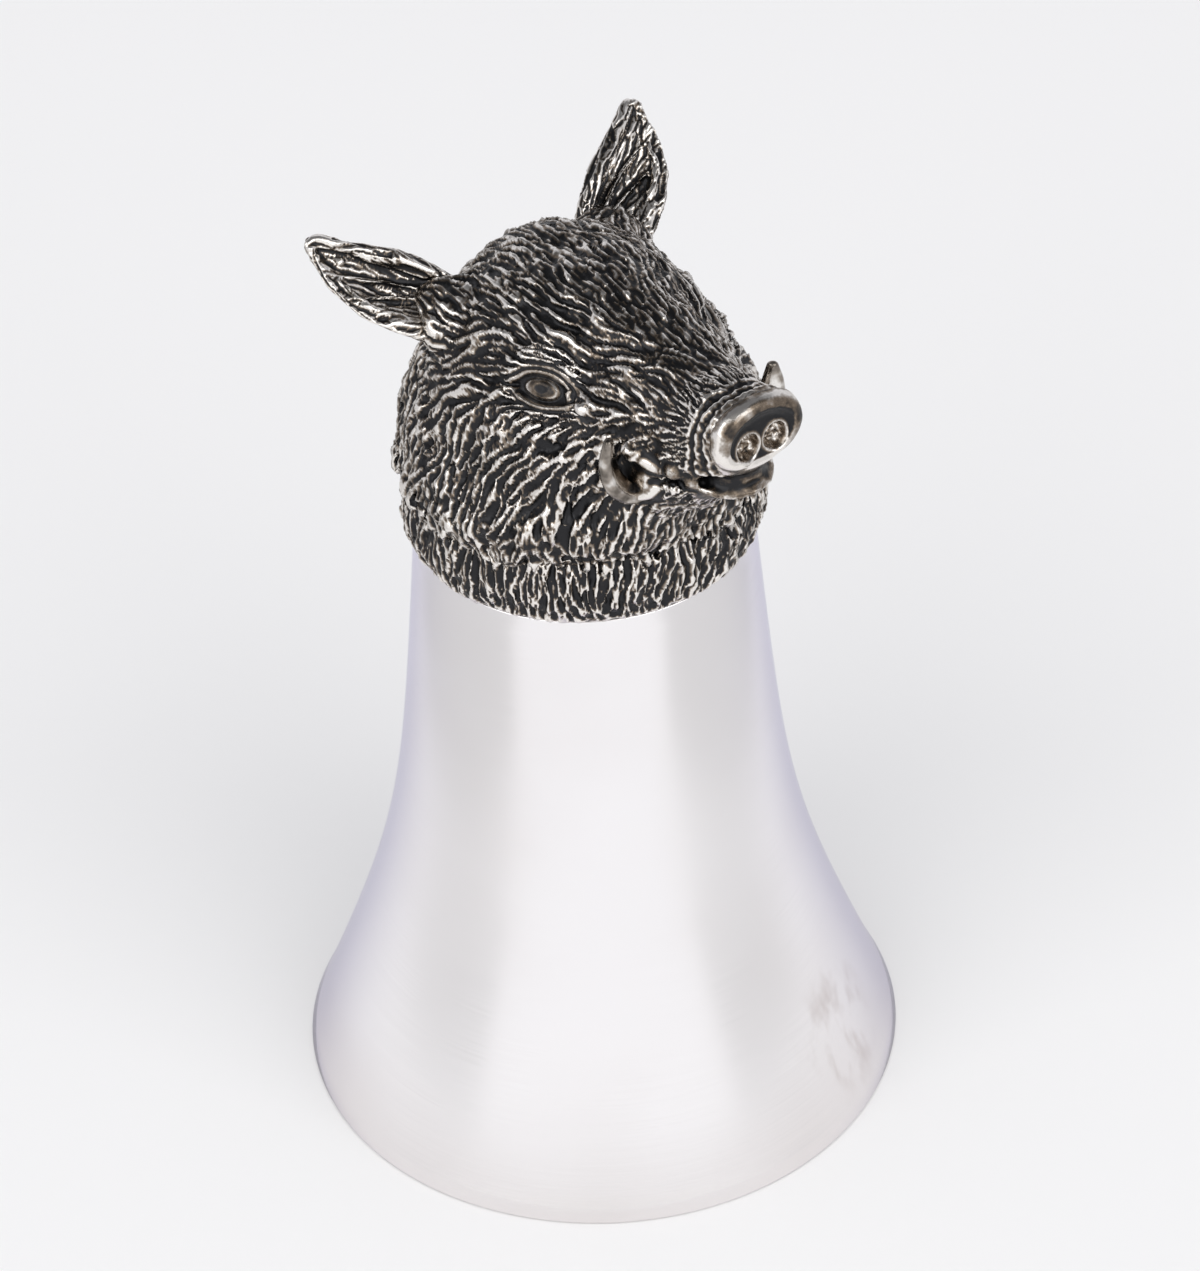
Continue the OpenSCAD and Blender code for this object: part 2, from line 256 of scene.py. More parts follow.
class Carver:
    """Carves an even skin: soft presses, creases and fur gouges, kept in millimetres."""

    def __init__(self, bm, name, seed):
        self.mesh = mesh_from(bm, name)
        self.rng = np.random.default_rng(seed)
        self.count = len(self.mesh.vertices)
        self.read()
        edges = np.empty(len(self.mesh.edges) * 2, np.int32)
        self.mesh.edges.foreach_get("vertices", edges)
        self.edges = edges.reshape(-1, 2)
        self.links = np.maximum(np.bincount(edges, minlength=self.count), 1)[:, None]
        self.grow_tree()

    def read(self):
        """Take the places and normals of the vertices from the mesh."""
        flat = np.empty(self.count * 3, np.float32)
        self.mesh.vertices.foreach_get("co", flat)
        self.co = flat.reshape(-1, 3).astype(float)
        self.mesh.vertex_normals.foreach_get("vector", flat)
        self.no = flat.reshape(-1, 3).astype(float)

    def write(self):
        """Give the places back to the mesh, which works out new normals."""
        self.mesh.vertices.foreach_set("co", self.co.astype(np.float32).ravel())
        self.mesh.update()
        self.read()

    def grow_tree(self):
        """Sort the vertices for finding the nearest ones."""
        self.tree = kdtree.KDTree(self.count)
        for i, c in enumerate(self.co.tolist()):
            self.tree.insert(c, i)
        self.tree.balance()

    def mean(self, values):
        """Mean of each vertex's neighbours."""
        a, b = self.edges.T
        total = np.stack([
            np.bincount(a, values[b, k], self.count) + np.bincount(b, values[a, k], self.count)
            for k in range(values.shape[1])], axis=1)
        return total / self.links

    def relief(self, rounds):
        """Height of each vertex over the smoothed skin round it."""
        calm = self.co
        for _ in range(rounds):
            calm = self.mean(calm)
        return ((self.co - calm) * self.no).sum(axis=1)

    def calm(self, rounds, share=1.0, where=None):
        """Smooth the skin, fully or where a mask says."""
        mask = share if where is None else (share * where)[:, None]
        for _ in range(rounds):
            self.co += (self.mean(self.co) - self.co) * mask
        self.write()

    def sides(self):
        """Factors that lay a place of the boar's left side over each vertex's own side."""
        return np.sign(self.co[:, :1] + 1e-9) ** np.array([1, 2, 2])

    def mirrored(self):
        """Places of the vertices with the boar's right side laid over its left."""
        return self.co * self.sides()

    def press(self, centre, radii, depth):
        """Dent (depth over 0) or swell (under 0) round a point of the left side, on both sides."""
        q = 1.0 - (((self.mirrored() - np.array(centre)) / np.array(radii)) ** 2).sum(axis=1)
        self.co -= self.no * (depth * np.clip(q, 0, 1) ** 1.5)[:, None]

    def crease(self, points, width, depth):
        """Cut (depth over 0) or raise (under 0) a fading line on both sides."""
        path = curve_through(points, 12 * len(points))
        p = self.mirrored()
        close = np.flatnonzero(((p > path.min(axis=0) - width) & (p < path.max(axis=0) + width)).all(axis=1))
        lift = ridge(p[close], path, width)
        self.co[close] -= self.no[close] * (depth * lift)[:, None]

    def tangents(self, flow):
        """Directions of a flow, laid flat on the skin."""
        t = flow - (flow * self.no).sum(axis=1)[:, None] * self.no
        return t / np.maximum(np.linalg.norm(t, axis=1), 1e-9)[:, None]

    def scatter(self, along, length, half, keep, crowd):
        """Seeds spread evenly, closer across the fur than along it."""
        across = np.cross(self.no, along)
        cell = SEED_ALONG * crowd * float(length.max())
        grid = {}
        seeds = []
        picks = self.rng.permutation(np.flatnonzero(keep > BALD))[:SEED_TRIES]
        co, al, ac = self.co.tolist(), along.tolist(), across.tolist()
        le, ha = (length * SEED_ALONG * crowd).tolist(), (half * SEED_ACROSS * crowd).tolist()
        near = [(i, j, k) for i in (0, 1, -1) for j in (0, 1, -1) for k in (0, 1, -1)]
        for i in picks.tolist():
            x, y, z = co[i]
            gx, gy, gz = int(x // cell), int(y // cell), int(z // cell)
            ax, ay, az = al[i]
            bx, by, bz = ac[i]
            u, v = le[i], ha[i]
            free = True
            for hx, hy, hz in near:
                for px, py, pz in grid.get((gx + hx, gy + hy, gz + hz), ()):
                    dx, dy, dz = px - x, py - y, pz - z
                    s = (dx * ax + dy * ay + dz * az) / u
                    c = (dx * bx + dy * by + dz * bz) / v
                    if s * s + c * c < 1.0:
                        free = False
                        break
                if not free:
                    break
            if free:
                grid.setdefault((gx, gy, gz), []).append((x, y, z))
                seeds.append(i)
        return np.array(seeds)

    def trace(self, along, seeds, long, bend, steps):
        """Lines over the skin through the seeds, along the flow and bending to one side."""
        trails = [[self.co[seeds]] for _ in range(2)]
        for side, sign in enumerate((1.0, -1.0)):
            p, k = self.co[seeds].copy(), seeds.copy()
            for j in range(steps):
                t = along[k] + np.cross(self.no[k], along[k]) * (bend * sign * (j + 0.5) / steps)[:, None]
                p = p + t * (sign * long / steps)[:, None]
                k = np.array([self.tree.find(q)[1] for q in p.tolist()])
                p = p - self.no[k] * ((p - self.co[k]) * self.no[k]).sum(axis=1)[:, None]
                trails[side].append(p)
        return np.stack(trails[1][:0:-1] + trails[0], axis=1)

    def fur(self, flow, length, half, depth, keep, wander=0.3, crowd=1.0, thin=1.0):
        """Leaf-shaped gouges along the flow, or raised tufts where the depth is under 0."""
        along = self.tangents(flow)
        steps, spread = GOUGE_STEPS, GOUGE_SPREAD
        seeds = self.scatter(along, length, half, keep, crowd)
        n = len(seeds)
        size = np.exp(self.rng.normal(0, spread, n)).clip(0.5, 1.5)
        long = length[seeds] * np.exp(self.rng.normal(0, spread * 0.7, n)).clip(0.6, 1.6) / 2
        wide = half[seeds] * size * thin
        deep = depth[seeds] * self.rng.uniform(0.7, 1.2, n) * np.sqrt(size)
        skew = self.rng.uniform(-0.45, 0.45, n)
        lean = self.rng.uniform(-0.3, 0.3, n)
        path = self.trace(along, seeds, long, self.rng.normal(0, wander, n), steps)
        share = np.linspace(-1, 1, path.shape[1])
        cut = np.zeros(self.count)
        for j in range(n):
            found = self.tree.find_range(path[j, steps].tolist(), long[j] + wide[j])
            idx = np.array([f[1] for f in found])
            gap = self.co[idx][:, None, :] - path[j][None]
            m = (gap * gap).sum(axis=2).argmin(axis=1)
            lo, hi = np.maximum(m - 1, 0), np.minimum(m + 1, path.shape[1] - 1)
            run = path[j][hi] - path[j][lo]
            run = run / np.maximum(np.linalg.norm(run, axis=1), 1e-9)[:, None]
            g = gap[np.arange(len(idx)), m]
            slide = (g * run).sum(axis=1)
            off = (g * np.cross(self.no[idx], run)).sum(axis=1)
            s = np.clip(share[m] + slide / long[j], -1.0, 1.0)
            leaf = wide[j] * np.clip(1 - np.abs(s - lean[j] * (1 - s * s)) ** 2.4, 0.0, 1) ** 0.7
            q = off / np.maximum(leaf, 1e-6)
            q = np.where(q > skew[j], (q - skew[j]) / (1 - skew[j]), (skew[j] - q) / (1 + skew[j]))
            v = deep[j] * np.clip(1 - np.abs(s) ** 3, 0, 1) * np.clip(1 - q * q, 0, 1)
            cut[idx] = np.where(np.abs(v) > np.abs(cut[idx]), v, cut[idx])
        self.co -= self.no * (cut * keep)[:, None]
        self.write()

    def finish(self, worn_and_highlight):
        """Write the share of wear and painted highlight, go back to metres and shade smooth."""
        self.mesh.vertices.foreach_set("co", (self.co / MM).astype(np.float32).ravel())
        layer = self.mesh.attributes.new("worn_and_highlight", "FLOAT", "POINT")
        layer.data.foreach_set("value", worn_and_highlight.astype(np.float32))
        self.mesh.update()
        self.mesh.shade_smooth()
        return self.mesh


# Materials

class Finish:
    """Nodes of a material or of the world, with the few kinds of link that the finishes need."""

    def __init__(self, owner):
        owner.use_nodes = True
        self.nodes = owner.node_tree.nodes
        self.links = owner.node_tree.links

    def add(self, kind):
        """Add a node."""
        return self.nodes.new("ShaderNode" + kind)

    def feed(self, socket, value):
        """Link a socket to another one, or set it to a number or colour."""
        if isinstance(value, bpy.types.NodeSocket):
            self.links.new(value, socket)
        else:
            socket.default_value = value

    def place(self, kind="Object"):
        """Place on the piece, or the direction in the world."""
        return self.add("TexCoord").outputs[kind]

    def split(self, vector):
        """The x, y and z of a vector."""
        node = self.add("SeparateXYZ")
        self.feed(node.inputs["Vector"], vector)
        return node.outputs

    def noise(self, place, scale, detail=3.0, stretch=None):
        """Noise with a number of waves in each metre, stretched along the axes where asked."""
        if stretch:
            mapping = self.add("Mapping")
            mapping.inputs["Scale"].default_value = stretch
            self.feed(mapping.inputs["Vector"], place)
            place = mapping.outputs["Vector"]
        node = self.add("TexNoise")
        node.inputs["Scale"].default_value = scale
        node.inputs["Detail"].default_value = detail
        self.feed(node.inputs["Vector"], place)
        return node.outputs["Fac"]

    def ramp(self, value, *stops):
        """Colour between stops, each a position with a colour or a grey."""
        node = self.add("ValToRGB")
        elements = node.color_ramp.elements
        while len(elements) < len(stops):
            elements.new(0.5)
        for k, (position, colour) in enumerate(stops):
            shade = (colour, colour, colour) if isinstance(colour, float) else colour
            elements[k].position = position
            elements[k].color = (*shade, 1.0)
        self.feed(node.inputs["Fac"], value)
        return node.outputs["Color"]

    def maths(self, kind, *values, clamp=False):
        """Outcome of one sum."""
        node = self.add("Math")
        node.operation = kind
        node.use_clamp = clamp
        for socket, value in zip(node.inputs, values):
            self.feed(socket, value)
        return node.outputs["Value"]

    def swing(self, value, size):
        """A noise made to swing about 0."""
        return self.maths("MULTIPLY_ADD", value, size, -size / 2)

    def smooth_range(self, value, low, high):
        """Smooth step from 0 at low to 1 at high, where low may be the larger."""
        node = self.add("MapRange")
        node.interpolation_type = "SMOOTHSTEP"
        falling = low > high
        node.inputs["From Min"].default_value = min(low, high)
        node.inputs["From Max"].default_value = max(low, high)
        node.inputs["To Min"].default_value = float(falling)
        node.inputs["To Max"].default_value = float(not falling)
        self.feed(node.inputs["Value"], value)
        return node.outputs["Result"]

    def bump(self, height, strength, distance):
        """Normal of a surface roughened by a height."""
        node = self.add("Bump")
        node.inputs["Strength"].default_value = strength
        node.inputs["Distance"].default_value = distance
        self.feed(node.inputs["Height"], height)
        return node.outputs["Normal"]


def start_material(name):
    """A new material, its nodes and the sockets of its shader."""
    material = bpy.data.materials.new(name)
    finish = Finish(material)
    return material, finish, finish.nodes["Principled BSDF"].inputs


def mixed(first, share, second, other):
    """A colour mixed from shares of two."""
    return tuple(share * a + other * b for a, b in zip(first, second))


def blackened_metal(colours, name):
    """Cast metal, black in the hollows, brown where the black is thin, rubbed bright on the ridges and bright
    under a painted highlight.
    """
    material, finish, shader = start_material(name)
    place = finish.place()
    worn_and_highlight = finish.add("Attribute")
    worn_and_highlight.attribute_name = "worn_and_highlight"
    patch = finish.noise(place, 420.0)
    speck = finish.noise(place, 2600.0, 2.0)
    amount = finish.maths("ADD", worn_and_highlight.outputs["Fac"], finish.swing(patch, 0.34))
    amount = finish.maths("ADD", amount, finish.swing(speck, 0.36), clamp=True)
    black, brown, bright = colours.black, colours.brown, colours.bright
    shade = mixed(black, 0.55, brown, 0.3)
    tan = mixed(brown, 0.6, bright, 0.35)
    colour = finish.ramp(amount, (0.0, black), (0.32, black), (0.46, shade), (0.63, brown), (0.81, tan),
                         (0.96, bright))
    finish.feed(shader["Base Color"], colour)
    finish.feed(shader["Metallic"], finish.ramp(amount, (0.3, 0.85), (0.6, 1.0)))
    finish.feed(shader["Roughness"], finish.ramp(amount, (0.2, 0.34), (0.85, 0.22)))
    finish.feed(shader["Normal"], finish.bump(speck, 0.25, 0.00008))
    return material


# Satin of the bell: place of a smudge near the rim, share of each colour left where it is tarnished
# and where painted shade darkens the bell towards its rim, and tint of the metal at grazing angles
SMUDGE = (0.0154, -0.0299, 0.0108)
TARNISH_AND_SHADE = (0.74, 0.70, 0.68)
GRAZING_TINT = (0.76, 0.755, 0.86, 1.0)


def satin_metal(colours):
    """Spun white metal with a fine turned grain, faint tarnish and painted shade that darkens it towards the
    rim.
    """
    material, finish, shader = start_material("satin_metal")
    place = finish.place()
    grain = finish.noise(place, 300.0, 2.0, stretch=(0.15, 0.15, 14.0))
    cloud = finish.noise(place, 28.0)
    streaks = finish.noise(place, 260.0, stretch=(1.0, 1.0, 0.4))
    spot = finish.add("VectorMath")
    spot.operation = "DISTANCE"
    spot.inputs[1].default_value = SMUDGE
    finish.feed(spot.inputs[0], place)
    smudge = finish.maths("MULTIPLY", finish.smooth_range(spot.outputs["Value"], 0.011, 0.003),
                          finish.smooth_range(streaks, 0.45, 0.7))
    # Painted shade: the bell darkens over its last 15 mm towards the rim it stands on
    painted_foot_shade = finish.maths("MULTIPLY", finish.smooth_range(finish.split(place)["Z"], 0.015, 0.0), 0.3)
    haze = finish.maths("MULTIPLY", finish.smooth_range(cloud, 0.35, 0.7), 0.18)
    tarnish_and_shade = finish.maths("ADD", finish.maths("ADD", painted_foot_shade, haze), smudge, clamp=True)
    stain_and_shade = tuple(c * left for c, left in zip(colours.satin, TARNISH_AND_SHADE))
    finish.feed(shader["Base Color"], finish.ramp(tarnish_and_shade, (0.0, colours.satin), (1.0, stain_and_shade)))
    finish.feed(shader["Metallic"], 1.0)
    finish.feed(shader["Specular Tint"], GRAZING_TINT)
    finish.feed(shader["Roughness"], finish.ramp(grain, (0.25, 0.16), (0.75, 0.24)))
    finish.feed(shader["Normal"], finish.bump(grain, 0.05, 0.00003))
    return material


def polished_metal(colours):
    """Smooth dark-toned metal of the tusks, brightest where it is worn."""
    material, finish, shader = start_material("polished_metal")
    cloud = finish.noise(finish.place(), 420.0)
    colour = finish.ramp(cloud, (0.36, colours.tusk_dark), (0.52, colours.tusk), (0.68, colours.tusk_bright))
    finish.feed(shader["Base Color"], colour)
    finish.feed(shader["Metallic"], 1.0)
    finish.feed(shader["Roughness"], finish.ramp(cloud, (0.3, 0.14), (0.7, 0.22)))
    return material


def solder_metal(colours):
    """Grey, slightly lumpy solder."""
    material, finish, shader = start_material("solder_metal")
    lumps = finish.noise(finish.place(), 900.0)
    finish.feed(shader["Base Color"], finish.ramp(lumps, (0.3, colours.solder_dark), (0.7, colours.solder)))
    finish.feed(shader["Metallic"], 1.0)
    finish.feed(shader["Roughness"], finish.ramp(lumps, (0.3, 0.3), (0.7, 0.45)))
    finish.feed(shader["Normal"], finish.bump(lumps, 0.4, 0.0001))
    return material


# Cup

def at(radius, height):
    """A point of a profile that is spun round the cup's axis."""
    return Vector((radius, 0, height))


def spin_round(bm, steps):
    """Spin what a bmesh holds once round the cup's axis and close it."""
    bmesh.ops.spin(bm, geom=bm.verts[:] + bm.edges[:], cent=(0, 0, 0), axis=(0, 0, 1), angle=math.tau,
                   steps=steps, use_merge=True)
    bmesh.ops.remove_doubles(bm, verts=bm.verts, dist=1e-7)
    bmesh.ops.recalc_face_normals(bm, faces=bm.faces)


# Bell, in metres: step from shoulder to spigot, bevels outside and inside, broken edge of the shoulder,
# where the inside leaves the flare and where it meets the spigot's bore, both down from the shoulder
SPIGOT_STEP = 0.0013
SPIGOT_BEVEL = 0.0006
BORE_BEVEL = 0.0008
EDGE_BREAK = 0.0002
FLARE_STOP = 0.005
BORE_START = 0.0025
# Handles of the flare's curve as shares of the height, and height of the rounded rim in walls
MOUTH_HANDLE, SHOULDER_HANDLE = 0.42, 0.5
RIM_ROUND, RIM_CLEAR = 0.35, 0.4
FLARE_STEPS, RIM_STEPS = 48, 8


def bell_flare(sizes):
    """Outer line of the bell from the rim to the shoulder."""
    h = sizes.shoulder_height
    low, high = MOUTH_HANDLE * h, SHOULDER_HANDLE * h
    a = at(sizes.mouth_radius, 0)
    b = at(sizes.mouth_radius - low * math.tan(sizes.mouth_lean), low)
    c = at(sizes.shoulder_radius + high * math.tan(sizes.shoulder_lean), high)
    d = at(sizes.shoulder_radius, h)
    line = []
    for i in range(FLARE_STEPS + 1):
        t = i / FLARE_STEPS
        line.append(a * (1 - t) ** 3 + b * (3 * t * (1 - t) ** 2) + c * (3 * t * t * (1 - t)) + d * t ** 3)
    return line


def bell_line(sizes):
    """Profile of the bell: over its closed end, down the outside, round the rim and up the inside."""
    outer = bell_flare(sizes)
    shoulder = outer[-1]
    w = sizes.wall
    end = BELL_HIGH.z / MM
    roof = end - w
    spigot = shoulder.x - SPIGOT_STEP
    bore = spigot - w
    line = [at(0, end), at(spigot - SPIGOT_BEVEL, end), at(spigot, end - SPIGOT_BEVEL),
            at(spigot, shoulder.z), shoulder - at(EDGE_BREAK, 0), shoulder, shoulder - at(0, EDGE_BREAK)]
    line += [p for p in reversed(outer[:-1]) if p.z > w * RIM_CLEAR]
    for k in range(RIM_STEPS + 1):
        a = math.pi * k / RIM_STEPS
        line.append(at(outer[0].x - w / 2 + w / 2 * math.cos(a), w * RIM_ROUND - w * RIM_ROUND * math.sin(a)))
    top = sizes.shoulder_height - FLARE_STOP
    line += [at(p.x - w, p.z) for p in outer if w * RIM_CLEAR < p.z < top]
    line += [at(bore, sizes.shoulder_height - BORE_START), at(bore, roof - BORE_BEVEL),
             at(bore - BORE_BEVEL, roof), at(0, roof)]
    return line


class CUP_OT_bell(Operator):
    """Spin the bell with its rounded rim and closed end"""
    bl_idname = "stirrup_cup.bell"
    bl_label = "Bell"

    def execute(self, context):
        sizes, colours = context.scene.cup_sizes, context.scene.cup_colours
        bm = bmesh.new()
        verts = [bm.verts.new(p) for p in bell_line(sizes)]
        for pair in zip(verts, verts[1:]):
            bm.edges.new(pair)
        spin_round(bm, sizes.steps_round)
        mesh = mesh_from(bm, "cup_bell_skin")
        mesh.shade_smooth()
        new_piece("bell", mesh, satin_metal(colours), "satin_metal", "cup_bell")
        return {"FINISHED"}


# Solder: inside of the rings in from the collar's outside, in metres, and facets across and round
SOLDER_DEEP = 0.0027
SOLDER_SEGMENTS, SOLDER_STEPS = 16, 192


class CUP_OT_solder(Operator):
    """Lay the two soldered seams"""
    bl_idname = "stirrup_cup.solder"
    bl_label = "Solder seams"

    def execute(self, context):
        material = solder_metal(context.scene.cup_colours)
        for node in ("cup_solder", "head_solder"):
            low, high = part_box(node)
            hole = COLLAR_HIGH.x / MM - SOLDER_DEEP
            middle = (high.x + hole) / 2
            half = (high.x - hole) / 2
            bm = bmesh.new()
            ring = bmesh.ops.create_circle(bm, segments=SOLDER_SEGMENTS, radius=1.0)["verts"]
            bmesh.ops.scale(bm, vec=(half, (high.z - low.z) / 2, 1), verts=ring)
            bmesh.ops.rotate(bm, cent=(0, 0, 0), matrix=Matrix.Rotation(math.pi / 2, 3, "X"), verts=ring)
            bmesh.ops.translate(bm, vec=(middle, 0, (low.z + high.z) / 2), verts=ring)
            spin_round(bm, SOLDER_STEPS)
            mesh = mesh_from(bm, node + "_skin")
            mesh.shade_smooth()
            new_piece(node + "_seam", mesh, material, "solder", node)
        return {"FINISHED"}


# Edge lengths of the carved skins of the collar, the ears and the tusks, and of the head's first wax
COLLAR_GRAIN = 0.25
EAR_GRAIN = 0.18
TUSK_GRAIN = 0.14
WAX_GRAIN = 0.5


class CUP_OT_collar(Operator):
    """Carve the ring of fur on the neck"""
    bl_idname = "stirrup_cup.collar"
    bl_label = "Neck collar"

    def execute(self, context):
        fur = context.scene.cup_fur
        bm = bmesh.new()
        copy_node(bm, "neck_collar")
        work = Carver(even_skin(bm, COLLAR_GRAIN, 3, "neck_collar_skin"), "neck_collar_skin", fur.seed)
        x, y, z = work.co.T
        skin = ease(COLLAR_HIGH.x - 2.3, COLLAR_HIGH.x - 1.3, np.hypot(x, y))
        skin = skin * (0.35 + 0.65 * ease(COLLAR_LOW.z + 0.1, COLLAR_LOW.z + 1.4, z))
        flow = swirl(work, np.repeat([[0.0, 0.0, -1.0]], work.count, axis=0), 5.0, 0.5)
        one = np.ones(work.count)
        work.fur(flow, 7.0 * one, 1.3 * one, -0.3 * one, skin, crowd=0.9)
        work.fur(flow, 4.8 * one, 0.6 * one, fur.depth * MM * one, skin)
        work.fur(flow, 3.4 * one, 0.32 * one, 0.25 * one, skin, wander=0.6, crowd=1.1)
        low = ease(COLLAR_LOW.z + 2.2, COLLAR_LOW.z + 0.2, work.co[:, 2])
        worn_and_highlight = worn_share(work, 0.32 * low - 0.02 + rubbed_patches(work))
        new_piece("collar", work.finish(worn_and_highlight), blackened_metal(context.scene.cup_colours, "blackened_collar"),
                  "blackened_metal", "neck_collar")
        return {"FINISHED"}


# Rubbing of a level skin, and edge length of a skin whose relief counts once
LEVEL_WORN = 0.36
WORN_GRAIN = 0.28


def worn_share(work, bias=0.0, broad=1.0):
    """Share of the blackening rubbed off, from 0 in the hollows to 1 on the ridges."""
    a, b = work.edges.T
    length = np.linalg.norm(work.co[a] - work.co[b], axis=1)
    grain = (np.bincount(a, length, work.count) + np.bincount(b, length, work.count)) / work.links[:, 0]
    scale = np.clip((WORN_GRAIN / np.maximum(grain, 0.05)) ** 2, 0.5, 4.0)
    rise = work.relief(2) * 5.0 + work.relief(5) * 2.0 + work.relief(18) * broad
    return np.clip(LEVEL_WORN + bias + scale * rise, 0, 1)


def rubbed_patches(work):
    """Uneven rubbing, over 0 in bright patches and under 0 in dark ones."""
    return 0.36 * noise_field(work.co, 0.28) + 0.45 * noise_field(work.co, 0.7)


# Head

# Middle of the snout's face, the left eye with its own axes, and the seat of the left ear with its own axes
SNOUT = np.array([0.0, -34.0, 114.2])
EYE = np.array([11.66, -9.6, 111.66])
EYE_OUT = np.array([0.707, -0.265, 0.656])
EYE_LONG = np.array([0.398, 0.915, -0.06])
EYE_UP = np.array([-0.585, 0.304, 0.753])
EAR_SEAT = np.array([11.0, 9.3, 112.1])
EAR_ALONG = np.array([0.623, 0.602, 0.5])
EAR_ACROSS = np.array([0.7816, -0.5051, -0.366])
EAR_BACK = np.array([0.0324, 0.6188, -0.7849])


def both(points):
    """A list of points on the boar's left, and the same on its right."""
    return [[(s * x, y, z) for x, y, z in points] for s in (1, -1)]


# Fillings of the head's hollow and of its foot: height over the foot, and radii
NECK_FILLS = ((4.5, (18.4, 18.4, 16.5)), (-0.5, (18.6, 18.6, 3.2)))
# Wax balls of the left side: five for the root of the ear, two for the jowl, one for the snout's
# nostril and two for the mouth slot. Each has its centre and radii
HEAD_BALLS = (
    ((10.2, 8.2, 110.9), (4.6, 4.6, 4.2)),
    ((11.2, 9.3, 112.0), (4.2, 4.4, 4.0)),
    ((12.2, 10.2, 113.0), (3.2, 3.3, 2.5)),
    ((14.2, 7.6, 111.4), (2.5, 2.4, 2.2)),
    ((12.6, 5.4, 110.2), (2.4, 2.2, 2.2)),
    ((17.2, -4.2, 94.0), (4.2, 9.4, 5.4)),
    ((15.2, -11.0, 95.6), (4.0, 5.4, 4.2)),
    ((1.9, -33.4, 113.4), (1.6, 1.9, 1.7)),
    ((4.6, -21.5, 106.2), (3.8, 5.0, 4.2)),
    ((7.2, -22.0, 105.0), (2.0, 2.4, 2.6)),
)
# Filling along the middle of the muzzle
MUZZLE_ROPE = [(0, -20, 107.5), (0, -26.0, 108.4), (0, -30.0, 110.0)]
MUZZLE_RADII = [6.2, 4.4, 3.6]


def paired_balls(wax, balls):
    """Add balls given for the left side to both sides."""
    for s in (1, -1):
        for (x, y, z), radii in balls:
            wax.ball((s * x, y, z), radii)


def head_forms(wax):
    """Large wax forms of the head: fillings of its hollow, sockets and mouth slot, ear roots and jowls."""
    for height, radii in NECK_FILLS:
        wax.ball((0, 0, COLLAR_HIGH.z + height), radii)
    paired_balls(wax, HEAD_BALLS)
    wax.rope(MUZZLE_ROPE, MUZZLE_RADII)


# Rim of the snout: half width, heights up and down, depth and width of its lower notch, and thickness
RIM_WIDE, RIM_UP, RIM_DOWN = 5.0, 3.7, 3.3
NOTCH_DEEP, NOTCH_WIDE = 1.7, 1.8
RIM_THICK, RIM_SWELL = 1.2, 0.12
# Lips of the left side, points and radii: lower lip by the tusk and at the front, upper lip behind
# the bead and before it
LIP_ROPES = (
    ([(8.9, -19.8, 102.4), (8.2, -22.6, 102.6), (7.2, -24.3, 103.9), (6.7, -25.3, 105.6)],
     [0.7, 0.75, 0.75, 0.55]),
    ([(4.9, -29.4, 106.4), (4.0, -31.2, 105.9), (2.4, -32.8, 105.7), (0, -33.6, 105.7)],
     [0.6, 0.55, 0.5, 0.5]),
    ([(8.7, -21.6, 108.7), (8.0, -22.9, 108.0), (7.2, -24.4, 107.4), (6.6, -25.6, 107.3)],
     [0.7, 0.9, 0.95, 0.85]),
    ([(5.6, -27.4, 107.2), (5.0, -29.0, 107.9), (4.5, -31.2, 109.6)], [0.75, 0.75, 0.7]),
)
# Beads of the upper lip, centre and radii
LIP_BEADS = (((6.4, -26.9, 107.8), (1.15, 1.2, 1.15)), ((5.5, -28.8, 106.9), (0.8, 0.85, 0.8)))


def small_forms(wax):
    """Rim of the snout and rolled lips with their beads."""
    rim = []
    for k in range(41):
        a = math.tau * k / 40
        x, z = RIM_WIDE * math.cos(a), math.sin(a)
        z = RIM_UP * z if z > 0 else RIM_DOWN * z + NOTCH_DEEP * math.exp(-(x / NOTCH_WIDE) ** 2) * -z
        rim.append((x, SNOUT[1] + 0.05, SNOUT[2] + z))
    wax.rope(rim, [RIM_THICK + RIM_SWELL * abs(x) / RIM_WIDE for x, _, _ in rim])
    wax.ball((0, SNOUT[1] + 1.0, SNOUT[2] + 0.3), (5.2, 1.5, 3.5))
    for points, radii in LIP_ROPES:
        for lip in both(points):
            wax.rope(lip, radii)
    paired_balls(wax, LIP_BEADS)


RUFF_TUFTS = 58


def ruff(wax, rng):
    """Tufts of fur that hang over the seam with the collar."""
    r = COLLAR_HIGH.x - 0.6
    for k in range(RUFF_TUFTS):
        a = math.tau * (k + rng.uniform(-0.4, 0.4)) / RUFF_TUFTS
        slant = a + rng.uniform(-0.06, 0.06)
        top = COLLAR_HIGH.z + rng.uniform(2.2, 3.4)
        low = COLLAR_HIGH.z - rng.uniform(-0.3, 2.4)
        wide = rng.uniform(0.6, 0.9)
        tuft = [(math.cos(a) * (r - 1.1), math.sin(a) * (r - 1.1), top),
                (math.cos(a) * (r - 0.1), math.sin(a) * (r - 0.1), (top + low) / 2),
                (math.cos(slant) * (r + 0.15), math.sin(slant) * (r + 0.15), low)]
        wax.rope(tuft, [wide, wide, wide * 0.5])


# Where the grain is halved: before and over a place of the muzzle, and round each eye
FINE_FRONT, FINE_LOW = -25.5, 103.4
FINE_EYE = 5.2


def refine(bm):
    """Halve the grain round the eyes, the snout and the mouth."""
    def fine(c):
        side = np.array([abs(c.x), c.y, c.z])
        return c.y < FINE_FRONT and c.z > FINE_LOW or np.linalg.norm(side - EYE) < FINE_EYE
    bm.faces.ensure_lookup_table()
    edges = {e for f in bm.faces if fine(f.calc_center_median()) for e in f.edges}
    bmesh.ops.subdivide_edges(bm, edges=list(edges), cuts=1, use_grid_fill=True, smooth=0.0)


# Hidden foot of the head's skin: how far it goes down into the collar, and the roll over the seam
FOOT_DEEP = 3.6
ROLL_RADIUS, ROLL_THICK = 20.4, 1.1


